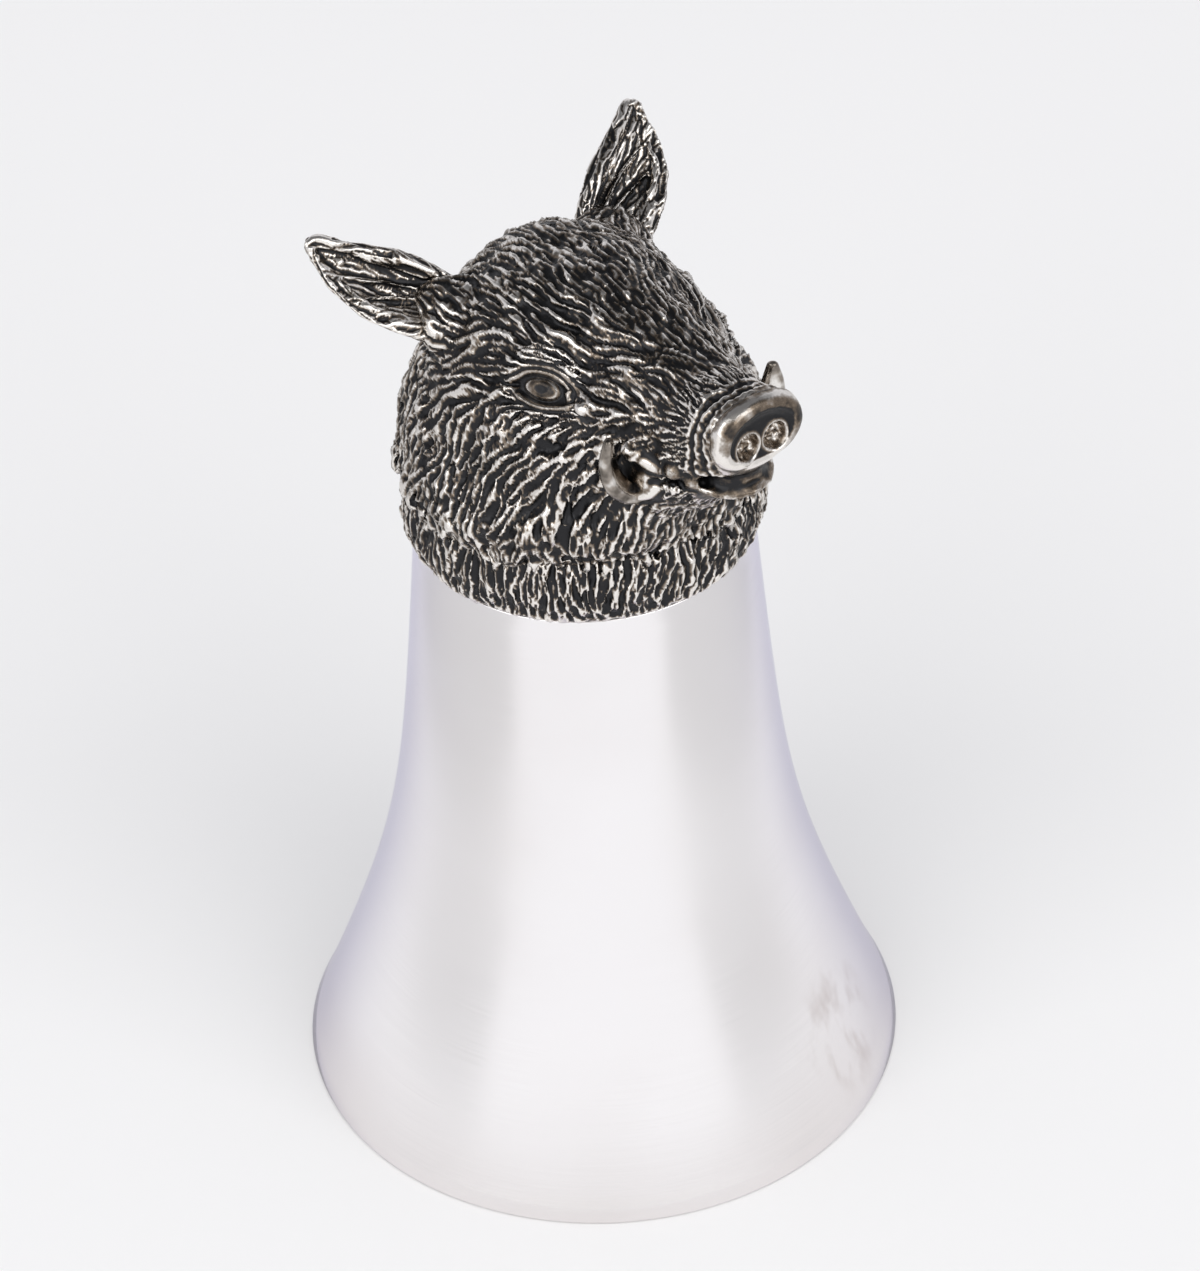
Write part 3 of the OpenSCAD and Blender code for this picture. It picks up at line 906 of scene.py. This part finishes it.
def head_wax(fur):
    """Even skin of the head with its face shaped and no fur yet."""
    bm = bmesh.new()
    copy_node(bm, "head_casting")
    wax = Wax()
    head_forms(wax)
    wax.add_to(bm)
    bm = even_skin(bm, WAX_GRAIN, 8, "head_base")
    wax = Wax()
    small_forms(wax)
    ruff(wax, np.random.default_rng(fur.seed))
    roll = [(ROLL_RADIUS * math.cos(a), ROLL_RADIUS * math.sin(a), COLLAR_HIGH.z - 0.1)
            for a in np.linspace(0, math.tau, 41)]
    wax.rope(roll, [ROLL_THICK] * len(roll))
    wax.add_to(bm)
    bm = even_skin(bm, fur.grain * MM, 2, "head_skin")
    bmesh.ops.bisect_plane(bm, geom=bm.verts[:] + bm.edges[:] + bm.faces[:],
                           plane_co=(0, 0, COLLAR_HIGH.z - FOOT_DEEP), plane_no=(0, 0, 1), clear_inner=True)
    bmesh.ops.holes_fill(bm, edges=[e for e in bm.edges if e.is_boundary], sides=0)
    refine(bm)
    work = Carver(bm, "head_skin", fur.seed)
    shape_snout(work)
    shape_mouth(work)
    shape_eyes(work)
    shape_jowls(work)
    return work


# Face of the snout: half width, heights up and down; place of a nostril on it, and its radii
FACE_WIDE, FACE_UP, FACE_DOWN = 4.5, 3.1, 2.9
NOSTRIL_X, NOSTRIL_Z = 1.9, -0.75
NOSTRIL_WIDE, NOSTRIL_TALL = 1.55, 1.7


def snout_field(p):
    """Share of the way from the middle of the snout to its rim, and the same for the nearer nostril."""
    x, z = p[:, 0], p[:, 2] - SNOUT[2]
    reach = np.sqrt((x / FACE_WIDE) ** 2 + (np.where(z > 0, z / FACE_UP, z / FACE_DOWN)) ** 2)
    nostril = np.sqrt(((np.abs(x) - NOSTRIL_X) / NOSTRIL_WIDE) ** 2 + ((z - NOSTRIL_Z) / NOSTRIL_TALL) ** 2)
    return reach, nostril


# Folds behind the rim of the snout: where they lie, from one to the next, and how far they bow
FOLD_START, FOLD_PITCH, FOLD_BOW = -30.1, 1.6, 0.02


def shape_snout(work):
    """Flatten the snout's face inside its rim, sink the nostrils and fold the skin behind the rim."""
    p = work.co
    front = (p[:, 1] < SNOUT[1] + 0.9) & (work.no[:, 1] < 0.2)
    reach, nostril = snout_field(p)
    face = front & (reach < 1.0)
    level = SNOUT[1] - 0.6 - 0.25 * ease(0.72, 1.0, reach)
    p[face, 1] = level[face]
    near = front & (nostril < 1.6)
    lip = 0.3 * np.exp(-((nostril - 1.1) / 0.17) ** 2)
    pit = (0.95 + 0.55 * noise_field(p, 1.9)) * ease(1.08, 0.72, nostril)
    p[near, 1] += (pit - lip)[near]
    work.write()
    work.calm(1, 0.5, ((p[:, 1] < SNOUT[1] + 1.2) & (reach < 1.2)).astype(float))
    p = work.co
    y, z = p[:, 1], p[:, 2]
    fold = ease(-28.0, -29.2, y) * ease(-33.4, -32.6, y) * ease(107.5, 109.5, z)
    bowed = y + FOLD_BOW * (z - 114) ** 2 + 0.5 * noise_field(p, 0.55) - FOLD_START
    wave = np.cos(bowed * math.tau / FOLD_PITCH)
    work.co = p - work.no * (fold * (0.2 - 0.22 * wave + 0.24 * noise_field(p, 1.5)))[:, None]
    work.write()


# Dents of the mouth on the left side, centre, radii and depth: pocket of the tusk, gap under the snout
# and, under 0, the tongue
MOUTH_PRESSES = (
    ((8.6, -21.9, 105.2), (1.9, 2.1, 2.5), 0.7),
    ((0.0, -31.0, 106.2), (3.0, 2.5, 1.9), 1.5),
    ((0.0, -31.2, 105.0), (1.4, 1.3, 1.4), -0.5),
)
LIP_LINE = [(7.8, -23.2, 105.0), (6.4, -26.0, 105.6), (5.2, -28.2, 105.6), (4.2, -30.4, 107.0)]


def shape_mouth(work):
    """Sink the pocket behind the tusk and the line between the lips."""
    for centre, radii, depth in MOUTH_PRESSES:
        work.press(centre, radii, depth)
        work.write()
    work.crease(LIP_LINE, 0.8, 1.1)
    work.write()
    p = work.mirrored()
    gap = ease(-18.0, -20.0, p[:, 1]) * ease(101.0, 102.5, p[:, 2]) * ease(110.2, 109.0, p[:, 2])
    work.calm(1, 0.5, gap)


# Lines of the eye in its own frame, backward and up: points, width and height
EYE_LINES = (
    ([(-4.4, -0.3), (-3.1, 0.8), (-1.4, 1.55), (0.6, 1.75), (2.4, 1.4), (3.8, 0.5), (5.2, -0.5)], 0.42, 0.42),
    ([(-3.6, 1.5), (-1.8, 2.25), (0.8, 2.5), (3.2, 1.95), (5.0, 0.8)], 0.42, 0.25),
    ([(-4.6, -0.9), (-3.2, -1.4), (-1.2, -1.9), (0.6, -1.95), (2.4, -1.5), (3.6, -1.0)], 0.55, 0.45),
    ([(-5.6, -1.5), (-4.0, -2.0), (-2.4, -2.5), (-0.6, -2.8)], 0.45, 0.3),
    ([(-2.9, 0.5), (-3.3, -0.2), (-3.6, -0.7)], 0.6, 0.7),
    ([(-4.6, -0.9), (-5.6, -1.1), (-6.6, -1.5)], 0.5, 0.4),
    ([(-4.2, 2.9), (-1.2, 3.7), (1.6, 3.9), (4.4, 2.8)], 1.4, 0.5),
    ([(3.2, 0.0), (4.4, -0.3), (5.8, -0.5)], 0.45, -0.4),
)


# Eyeball in the same frame: how far back it sits, half length and half height. Skin out of this depth
# from the eye's plane is left alone
BALL_BACK, BALL_LONG, BALL_TALL = 0.35, 2.25, 1.2
EYE_DEPTH = 4


def eye_field(u, v):
    """Height of the eye, its lids and brow over the skin, and the share of the way to the eye's edge."""
    points = np.stack([u, v], axis=1)
    height = -0.8 * np.clip(1 - (u / 4.4) ** 2 - (v / 1.95) ** 2, 0, 1) ** 0.7
    for line, width, lift in EYE_LINES:
        height = height + lift * ridge(points, curve_through(line, 120), width)
    ball = np.hypot((u - BALL_BACK) / BALL_LONG, v / BALL_TALL)
    dome = -0.75 + 0.85 * np.sqrt(np.clip(1 - (ball * 0.92) ** 2, 0, 1)) - 0.12 * ease(0.55, 0.2, ball)
    height = np.where(ball < 1.08, np.maximum(height, dome), height)
    return height, ball


def eye_places(work):
    """Places of the vertices in the frame of the eye: along it, up and out."""
    rel = work.mirrored() - EYE
    return rel @ EYE_LONG, rel @ EYE_UP, rel @ EYE_OUT


def bowl(u, v):
    """Terms of a slightly curved sheet."""
    return np.c_[np.ones(len(u)), u, v, u ** 2, v ** 2, u * v]


def shape_eyes(work):
    """Raise the eyes, lids and brows on both sides, over a sheet fitted to the skin round them."""
    u, v, w = eye_places(work)
    level = np.abs(w) < EYE_DEPTH
    ring = np.hypot(u / 4.2, v / 3.0)
    rim = np.flatnonzero((ring > 0.9) & (ring < 1.1) & level)
    plain = np.linalg.lstsq(bowl(u[rim], v[rim]), w[rim], rcond=None)[0]
    near = np.flatnonzero((np.abs(u) < 7) & (np.abs(v) < 6) & level)
    a, b = u[near], v[near]
    flat = 1 - ease(0.75, 1.25, np.sqrt((a / 5.2) ** 2 + (b / 4.0) ** 2))
    height, _ = eye_field(a, b)
    move = (bowl(a, b) @ plain - w[near]) * flat + height
    work.co[near] += EYE_OUT * work.sides()[near] * move[:, None]
    work.write()
    soft = np.zeros(work.count)
    soft[near] = flat
    work.calm(1, 0.5, soft)


# Rear edge of the left jowl, from the chin up to the ear
JOWL_EDGE = [(17.9, -14.6, 95.4), (20.0, -9.3, 95.0), (21.4, -5.2, 95.8), (21.4, -2.4, 96.7),
             (20.8, 0.9, 98.5), (20.0, 3.1, 99.7), (19.2, 4.9, 101.2), (17.9, 7.0, 104.0), (16.4, 8.6, 107.0)]


def shape_jowls(work):
    """Raise the rear edge of the jowls over the fur of the neck and undercut it."""
    work.crease(JOWL_EDGE, 1.6, -0.45)
    work.write()
    work.crease([(x + 0.1, y + 0.6, z - 1.1) for x, y, z in JOWL_EDGE], 1.3, 0.35)
    work.write()


class CUP_OT_head(Operator):
    """Carve the head: eyes, snout, lips and fur"""
    bl_idname = "stirrup_cup.head"
    bl_label = "Head"

    def execute(self, context):
        fur = context.scene.cup_fur
        work = head_wax(fur)
        work.grow_tree()
        keep = fur_mask(work)
        flow, length, half, depth = head_fur(work, fur)
        # Broad tufts, gouges between strands, loose locks on the brow, then fine gouges
        work.fur(flow, length * 2.0, half * 3.2, -1.2 * depth, keep, crowd=0.8)
        work.fur(flow, length, half, depth, keep, thin=0.72)
        brow = keep * ease(103.0, 110.0, work.co[:, 2])
        work.fur(swirl(work, flow, 2.5, 0.5), length, half * 0.85, -0.6 * depth, brow, wander=0.5, crowd=1.3)
        work.fur(flow, length * 0.8, half * 0.6, depth * 0.6, keep, wander=0.6, crowd=1.1, thin=0.9)
        worn_and_highlight = head_worn_and_highlight(work)
        new_piece("head", work.finish(worn_and_highlight), blackened_metal(context.scene.cup_colours, "blackened_head"),
                  "blackened_metal", "head_casting")
        return {"FINISHED"}


def head_worn_and_highlight(work):
    """Rubbing of the head, thin on the crown and strong on the cheeks and the rim of the snout, with a
    painted highlight on the rim's lower part and outer edge.
    """
    p = work.mirrored()
    small = noise_field(work.co, 0.8)
    low = ease(113.0, 102.0, p[:, 2])
    seam = ease(3.2, 0.8, np.abs(p[:, 2] - COLLAR_HIGH.z))
    worn_and_highlight = worn_share(work, 0.09 * low - 0.03 + rubbed_patches(work) + 0.16 * seam)
    bare = np.maximum(ease(-29.0, -30.0, p[:, 1]), lip_share(p))
    worn_and_highlight = worn_and_highlight * (1 - bare) + bare_worn_and_highlight(work, p, small) * bare
    rub_eyes(work, worn_and_highlight, small)
    return np.clip(worn_and_highlight, 0, 1.2)


def bare_worn_and_highlight(work, p, small):
    """Rubbing where no fur grows: lips, folds of the muzzle, and rim, face and nostrils of the snout, with a
    painted highlight on the rim's lower part and outer edge.
    """
    y, z = p[:, 1], p[:, 2]
    worn_and_highlight = np.clip(0.42 + 0.35 * small + work.relief(3) * 10.0 + 1.2 * work.relief(12), 0, 1.1)
    reach, nostril = snout_field(p)
    tip = ease(-32.2, -32.8, y) * ease(108.6, 109.4, z)
    inner = 0.98 + 0.14 * ease(114.0, 117.0, z)
    rim = tip * ease(inner, inner + 0.1, reach)
    # Painted highlight along the rim's outer edge, where its surface faces sideways
    painted_brink_highlight = tip * ease(1.1, 1.2, reach) * np.exp(-((work.no[:, 1] + 0.3) / 0.25) ** 2)
    face = ease(-33.6, -34.0, y) * ease(inner + 0.05, inner - 0.02, reach)
    edge = face * np.exp(-((nostril - 1.1) / 0.13) ** 2)
    pit = tip * ease(1.0, 0.85, nostril)
    # Painted highlight on the lower part of the rim, on all but the boar's left side; the rest of the rim's
    # tone is its own rubbing
    right = 1 - ease(2.0, 5.0, work.co[:, 0])
    layers = (
        (rim, 0.56 + 0.6 * ease(116.0, 112.0, z) * right + 0.35 * small),
        (painted_brink_highlight, 1.05 + 0.2 * small),
        (face, 0.26 + 0.08 * small),
        (edge, 0.95),
        (pit, 0.78 + 0.7 * noise_field(work.co, 2.6)),
    )
    for share, level in layers:
        worn_and_highlight += (level - worn_and_highlight) * share
    return worn_and_highlight


def rub_eyes(work, worn_and_highlight, small):
    """Rub the eyes: a brown iris with a bright ring, in a dark socket."""
    u, v, w = eye_places(work)
    near = np.flatnonzero((np.hypot(u / 4.9, v / 2.5) < 1) & (np.abs(w) < EYE_DEPTH))
    _, ball = eye_field(u[near], v[near])
    iris = 0.52 + 0.6 * small[near] - 0.36 * ease(0.5, 0.2, ball)
    iris += (1.0 + 0.3 * small[near] - iris) * np.exp(-((ball - 0.88) / 0.09) ** 2)
    socket = ease(1.6, 1.2, ball) * ease(1.0, 0.55, np.hypot((u[near] - 0.2) / 3.4, v[near] / 2.1))
    worn_and_highlight[near] = np.minimum(worn_and_highlight[near], 0.8) * (1 - 0.85 * socket)
    worn_and_highlight[near] += (iris - worn_and_highlight[near]) * ease(1.12, 1.02, ball)


def fur_mask(work):
    """1 where fur grows, 0 on eyes, lips, snout and the hidden foot."""
    p = work.mirrored()
    u, v, w = eye_places(work)
    keep = ease(-29.4, -27.6, p[:, 1])
    keep = keep * ease(0.85, 1.2, np.sqrt((u / 4.8) ** 2 + ((v - 0.2) / 2.8) ** 2 + (w / 5.0) ** 2))
    return keep * (1 - lip_share(p)) * ease(COLLAR_HIGH.z - 3.4, COLLAR_HIGH.z - 2.6, p[:, 2])


# Bare places of the left lips: middle and radius
LIP_PLACES = (((7.8, -22.6, 104.4), 2.9), ((7.6, -24.0, 107.4), 1.7), ((6.4, -26.9, 107.6), 1.6),
              ((5.5, -28.8, 106.9), 1.5))


def lip_share(p):
    """1 on the lips, their beads and the pocket of the tusk, 0 on the fur."""
    share = ease(-28.6, -29.6, p[:, 1]) * ease(103.4, 104.4, p[:, 2])
    for place, radius in LIP_PLACES:
        away = np.linalg.norm(p - np.array(place), axis=1)
        share = np.maximum(share, ease(radius + 0.5, radius - 0.2, away))
    return share


def swirl(work, flow, size, turn):
    """Flow turned to and fro about the normals by a slow noise."""
    t = work.tangents(flow)
    angle = np.array([turn * noise_at(Vector(c) / size) for c in work.co.tolist()])
    return t * np.cos(angle)[:, None] + np.cross(work.no, t) * np.sin(angle)[:, None]


# Point before the snout from which the fur runs back, and the way in which it falls lower down
FUR_SOURCE = np.array([0.0, -38.0, 113.0])
FUR_FALL = np.array([0.0, 0.1, -1.0])


def head_fur(work, fur):
    """Direction and size of the gouges over the head."""
    p = work.co
    _, y, z = p.T
    away = p - FUR_SOURCE
    away /= np.linalg.norm(away, axis=1)[:, None]
    low = ease(115.0, 97.0, z) * ease(-30.0, -16.0, y)
    back = ease(6.0, 20.0, y)
    fall = np.clip(low + back, 0, 1)[:, None]
    side = work.sides()
    ear = ease(7.5, 3.5, np.linalg.norm(p - (EAR_SEAT + EAR_ALONG) * side, axis=1))[:, None]
    flow = away * (1 - fall) + FUR_FALL * fall
    flow = swirl(work, flow * (1 - ear) + EAR_ALONG * side * ear, 5.0, 0.8)
    top = ease(112.0, 118.0, z) * ease(-30, -20, y)
    cheek = ease(112.0, 106.0, z)
    muzzle = ease(-17.0, -25.0, y)
    length = 4.8 + 0.9 * top - 1.2 * muzzle - 0.5 * cheek
    half = 0.6 - 0.1 * top - 0.2 * muzzle + 0.1 * cheek
    depth = fur.depth * MM * (0.75 + 0.25 * cheek - 0.3 * muzzle)
    return flow, length, half, depth


# Ridges of an ear in its own frame, across, back and along: points and radii
EAR_ROPES = (
    ([(-3.0, -0.1, 1.0), (-2.8, -0.5, 5.0), (-2.2, -0.8, 8.4), (-1.3, -0.7, 11.5), (-0.5, -0.7, 14.5),
      (0.0, -0.7, 16.4), (0.3, -0.6, 17.7), (0.8, -0.5, 18.5)], [1.1, 1.25, 1.35, 1.2, 1.05, 1.0, 1.0, 0.85]),
    ([(4.6, -0.2, 0.4), (5.7, -0.6, 3.6), (6.5, -0.8, 7.4), (6.2, -0.8, 11.0), (4.8, -0.6, 14.5),
      (3.2, -0.5, 16.4), (2.2, -0.4, 17.6), (1.4, -0.6, 18.6)], [0.8, 0.6, 0.5, 0.5, 0.5, 0.6, 0.75, 0.8]),
    ([(2.4, 0.2, 0.2), (3.4, 0.0, 3.4), (4.3, -0.4, 6.6)], [1.1, 0.9, 0.5]),
    ([(3.6, 0.1, 0.6), (4.6, -0.2, 3.4), (5.4, -0.5, 6.4)], [1.0, 1.0, 0.9]),
    ([(4.0, -0.3, 4.4), (5.0, -0.5, 7.6), (5.0, -0.6, 10.8), (3.8, -0.5, 13.8)], [0.7, 0.9, 0.8, 0.6]),
    ([(0.8, 0.3, 1.0), (2.6, 0.1, 5.0), (4.7, -0.5, 8.4)], [0.6, 0.4, 0.35]),
    ([(0.0, 0.3, 3.0), (2.0, 0.2, 7.0), (4.6, -0.4, 11.2)], [0.5, 0.4, 0.35]),
    ([(-0.6, 0.2, 4.5), (1.0, 0.2, 9.5), (3.3, -0.4, 14.2)], [0.45, 0.4, 0.35]),
    ([(1.3, 0.1, 14.6), (1.1, 0.3, 16.6), (1.0, 0.5, 18.1)], [1.0, 1.0, 0.95]),
)


class CUP_OT_ears(Operator):
    """Carve both ears"""
    bl_idname = "stirrup_cup.ears"
    bl_label = "Ears"

    def execute(self, context):
        fur = context.scene.cup_fur
        material = blackened_metal(context.scene.cup_colours, "blackened_ears")
        for side, node in ((1, "left_ear"), (-1, "right_ear")):
            flip = np.array([side, 1, 1])
            bm = bmesh.new()
            copy_node(bm, node)
            wax = Wax()
            for points, radii in EAR_ROPES:
                path = [EAR_SEAT + x * EAR_ACROSS + y * EAR_BACK + z * EAR_ALONG for x, y, z in points]
                wax.rope([place * flip for place in path], radii)
            wax.add_to(bm)
            work = Carver(even_skin(bm, EAR_GRAIN, 3, node + "_skin"), node + "_skin", fur.seed + side)
            across = (work.co * flip - EAR_SEAT) @ EAR_ACROSS
            inside = ease(0.1, 0.5, -(work.no * flip) @ EAR_BACK) * ease(-1.2, -0.2, across)
            fan = EAR_ALONG + np.outer(inside * (0.1 + 0.12 * np.maximum(across, 0)), EAR_ACROSS)
            flow = swirl(work, fan * flip, 4.0, 0.35)
            one = np.ones(work.count)
            work.fur(flow, 5.0 + 1.5 * inside, 0.5 - 0.12 * inside, 0.3 - 0.12 * inside, one, wander=0.4)
            work.fur(flow, 3.2 * one, 0.28 * one, 0.1 * one, one, wander=0.5, crowd=1.2)
            work.calm(1, 0.4)
            worn_and_highlight = worn_share(work, 0.6 * inside, 0.1)
            new_piece(node + "_casting", work.finish(worn_and_highlight), material, "blackened_metal", node)
        return {"FINISHED"}


# Left tusk from root to tip: middle line, radius, and how far it is spread across
TUSK_LINE = [(7.8, -21.6, 102.1), (9.6, -21.7, 103.3), (11.1, -21.7, 105.4), (11.9, -21.7, 108.3),
             (11.8, -21.9, 111.3)]
TUSK_RADII = [1.1, 1.1, 1.05, 0.9, 0.6]
TUSK_SPREAD = (0.4, 0.6, 0.7, 0.6, 0.15)
TUSK_ACROSS = (0.81, -0.58)


class CUP_OT_tusks(Operator):
    """Sweep, smooth and polish both tusks"""
    bl_idname = "stirrup_cup.tusks"
    bl_label = "Tusks"

    def execute(self, context):
        material = polished_metal(context.scene.cup_colours)
        across, ahead = TUSK_ACROSS
        for side, node in ((1, "left_tusk"), (-1, "right_tusk")):
            wax = Wax()
            for off in (-1, -0.5, 0, 0.5, 1):
                shift = [off * c for c in TUSK_SPREAD]
                path = [(side * (x + across * d), y + ahead * d, z) for (x, y, z), d in zip(TUSK_LINE, shift)]
                wax.rope(path, TUSK_RADII)
            bm = bmesh.new()
            wax.add_to(bm)
            bm = even_skin(bm, TUSK_GRAIN, 6, node + "_skin")
            bmesh.ops.scale(bm, vec=(1 / MM, 1 / MM, 1 / MM), verts=bm.verts)
            mesh = mesh_from(bm, node + "_skin")
            mesh.shade_smooth()
            new_piece(node + "_casting", mesh, material, "polished_metal", node)
        return {"FINISHED"}


# Stage. The camera was fitted to the rim and the wall of the cup in the photograph; focal length and
# picture height are in its pixels
FOCAL_PIXELS, PICTURE_PIXELS = 5000.0, 1271.0
SENSOR = 36.0
CAMERA_TURN = math.radians(-35.5)
CAMERA_RISE = math.radians(38.878)
CAMERA_ROLL = math.radians(-2.159)
CAMERA_AIM = Vector((0.00136, 0, 0.0636))
CAMERA_FAR = 0.6124
# Lamps: name, place and power; one size and aim for both
LAMPS = (("right_lamp", (0.25, -1.66, 1.45), 12.5), ("left_lamp", (-1.63, -0.38, 1.45), 11.5))
LAMP_SIZE = 1.6
LAMP_AIM = Vector((0.0, 0.0, 0.05))
# Floor: half size, edges of the painted light before the cup and of the level floor near it, share of the
# colour left in the painted shade at the sides, and the white of the painted light
FLOOR_HALF = 3.0
PAINTED_LIGHT_EDGE = (0.045, 0.08)
NEAR_EDGE = (0.112, 0.086)
PAINTED_SHADE_SHARE = 0.79
PAINTED_LIGHT_WHITE = 0.97
# World: colours of the sides and the front, edge between them, strength, and what mirrors see added
# low down and taken off overhead
SIDE_SKY, FRONT_SKY = (0.74, 0.745, 0.78), (0.98, 0.98, 0.985)
SKY_EDGE = (-0.05, 0.1)
SKY_STRENGTH = 0.855
MIRROR_LIFT, MIRROR_DROP = 0.10, -0.75
OVERHEAD = (0.35, 0.85)
# How far the front narrows for each step toward the camera
FRONT_SLANT = 0.45


def stage_way(finish, x, y):
    """Reach sideways and toward the camera of a place or direction, by its own x and y."""
    cos, sin = math.cos(CAMERA_TURN), math.sin(CAMERA_TURN)
    right = finish.maths("ADD", finish.maths("MULTIPLY", x, cos), finish.maths("MULTIPLY", y, sin))
    toward = finish.maths("ADD", finish.maths("MULTIPLY", x, sin), finish.maths("MULTIPLY", y, -cos))
    return finish.maths("ABSOLUTE", right), toward


def front_share(finish, aside, toward, edge):
    """Share from 0 to 1 of lying before the camera."""
    ahead = finish.maths("SUBTRACT", toward, finish.maths("MULTIPLY", aside, FRONT_SLANT))
    return finish.smooth_range(ahead, *edge)


class CUP_OT_stage(Operator):
    """Set up the floor, the soft light and the camera"""
    bl_idname = "stirrup_cup.stage"
    bl_label = "Stage"

    def execute(self, context):
        scene = context.scene
        self.floor(scene, scene.cup_colours)
        self.world(scene)
        for name, place, power in LAMPS:
            self.lamp(scene, name, Vector(place), power)
        self.camera(scene)
        scene.view_settings.view_transform = "Standard"
        return {"FINISHED"}

    def floor(self, scene, colours):
        """A pale floor with painted light before the cup and painted shade to its sides."""
        bm = bmesh.new()
        bmesh.ops.create_grid(bm, x_segments=1, y_segments=1, size=FLOOR_HALF)
        mesh = mesh_from(bm, "floor")
        floor = bpy.data.objects.new("floor", mesh)
        scene.collection.objects.link(floor)
        material, finish, shader = start_material("floor")
        x, y, _ = finish.split(finish.place())
        aside, toward = stage_way(finish, x, y)
        # Painted light on the floor before the cup and painted shade to its sides
        painted_light = front_share(finish, aside, toward, PAINTED_LIGHT_EDGE)
        reach = finish.maths("ADD", aside, finish.maths("MULTIPLY", toward, 0.1))
        near = finish.maths("MULTIPLY", finish.smooth_range(reach, *NEAR_EDGE), 0.5)
        painted_shade = tuple(c * PAINTED_SHADE_SHARE for c in colours.floor)
        colour = finish.ramp(finish.maths("MAXIMUM", near, painted_light),
                             (0.0, painted_shade), (0.5, colours.floor), (1.0, PAINTED_LIGHT_WHITE))
        finish.feed(shader["Base Color"], colour)
        finish.feed(shader["Roughness"], 0.9)
        finish.feed(shader["Specular IOR Level"], 0.1)
        mesh.materials.append(material)

    def world(self, scene):
        """Even light all round, brighter before the cup, and dark overhead in mirrors alone."""
        world = bpy.data.worlds.new("studio")
        scene.world = world
        finish = Finish(world)
        back = finish.nodes["Background"].inputs
        x, y, z = finish.split(finish.place("Generated"))
        aside, toward = stage_way(finish, x, y)
        share = front_share(finish, aside, toward, SKY_EDGE)
        finish.feed(back["Color"], finish.ramp(share, (0.0, SIDE_SKY), (1.0, FRONT_SKY)))
        mirror = finish.add("LightPath").outputs["Is Glossy Ray"]
        gloss = finish.maths("MULTIPLY_ADD", finish.smooth_range(z, *OVERHEAD), MIRROR_DROP, MIRROR_LIFT)
        finish.feed(back["Strength"], finish.maths("MULTIPLY_ADD", mirror, gloss, SKY_STRENGTH))

    def lamp(self, scene, name, place, power):
        """A large soft lamp aimed at the cup."""
        light = bpy.data.lights.new(name, "AREA")
        light.shape = "SQUARE"
        light.size = LAMP_SIZE
        light.energy = power
        lamp = bpy.data.objects.new(name, light)
        scene.collection.objects.link(lamp)
        lamp.location = place
        lamp.rotation_euler = (LAMP_AIM - place).to_track_quat("-Z", "Y").to_euler()

    def camera(self, scene):
        """The camera of the photograph."""
        lens = bpy.data.cameras.new("camera")
        lens.sensor_width = SENSOR
        lens.lens = SENSOR * FOCAL_PIXELS / PICTURE_PIXELS
        lens.clip_start = 0.01
        camera = bpy.data.objects.new("camera", lens)
        scene.collection.objects.link(camera)
        back = Vector((0, -math.cos(CAMERA_RISE), math.sin(CAMERA_RISE)))
        right = Vector((1, 0, 0))
        up = back.cross(right)
        x = right * math.cos(CAMERA_ROLL) + up * math.sin(CAMERA_ROLL)
        y = up * math.cos(CAMERA_ROLL) - right * math.sin(CAMERA_ROLL)
        place = Matrix.Translation(CAMERA_AIM + back * CAMERA_FAR)
        pose = Matrix((x, y, back)).transposed().to_4x4()
        camera.matrix_world = Matrix.Rotation(CAMERA_TURN, 4, "Z") @ place @ pose
        scene.camera = camera


class CUP_PT_panel(Panel):
    bl_label = "Stirrup Cup"
    bl_idname = "CUP_PT_panel"
    bl_space_type = "VIEW_3D"
    bl_region_type = "UI"
    bl_category = "Stirrup Cup"

    def draw(self, context):
        """List the operators, then every size and colour."""
        for cls in OPERATORS:
            self.layout.operator(cls.bl_idname)
        for group in GROUPS:
            values = getattr(context.scene, group)
            for name in values.bl_rna.properties.keys():
                if name not in ("rna_type", "name"):
                    self.layout.prop(values, name)


OPERATORS = (CUP_OT_bell, CUP_OT_solder, CUP_OT_collar, CUP_OT_head, CUP_OT_ears, CUP_OT_tusks, CUP_OT_stage)
GROUPS = {"cup_sizes": CupSizes, "cup_fur": FurSizes, "cup_colours": CupColours}


def register():
    for cls in (*GROUPS.values(), *OPERATORS, CUP_PT_panel):
        bpy.utils.register_class(cls)
    for name, cls in GROUPS.items():
        setattr(bpy.types.Scene, name, PointerProperty(type=cls))


def unregister():
    for name in GROUPS:
        delattr(bpy.types.Scene, name)
    for cls in reversed((*GROUPS.values(), *OPERATORS, CUP_PT_panel)):
        bpy.utils.unregister_class(cls)


def main():
    register()
    bpy.ops.stirrup_cup.bell()
    bpy.ops.stirrup_cup.solder()
    bpy.ops.stirrup_cup.collar()
    bpy.ops.stirrup_cup.head()
    bpy.ops.stirrup_cup.ears()
    bpy.ops.stirrup_cup.tusks()
    bpy.ops.stirrup_cup.stage()


if __name__ == "__main__":
    main()
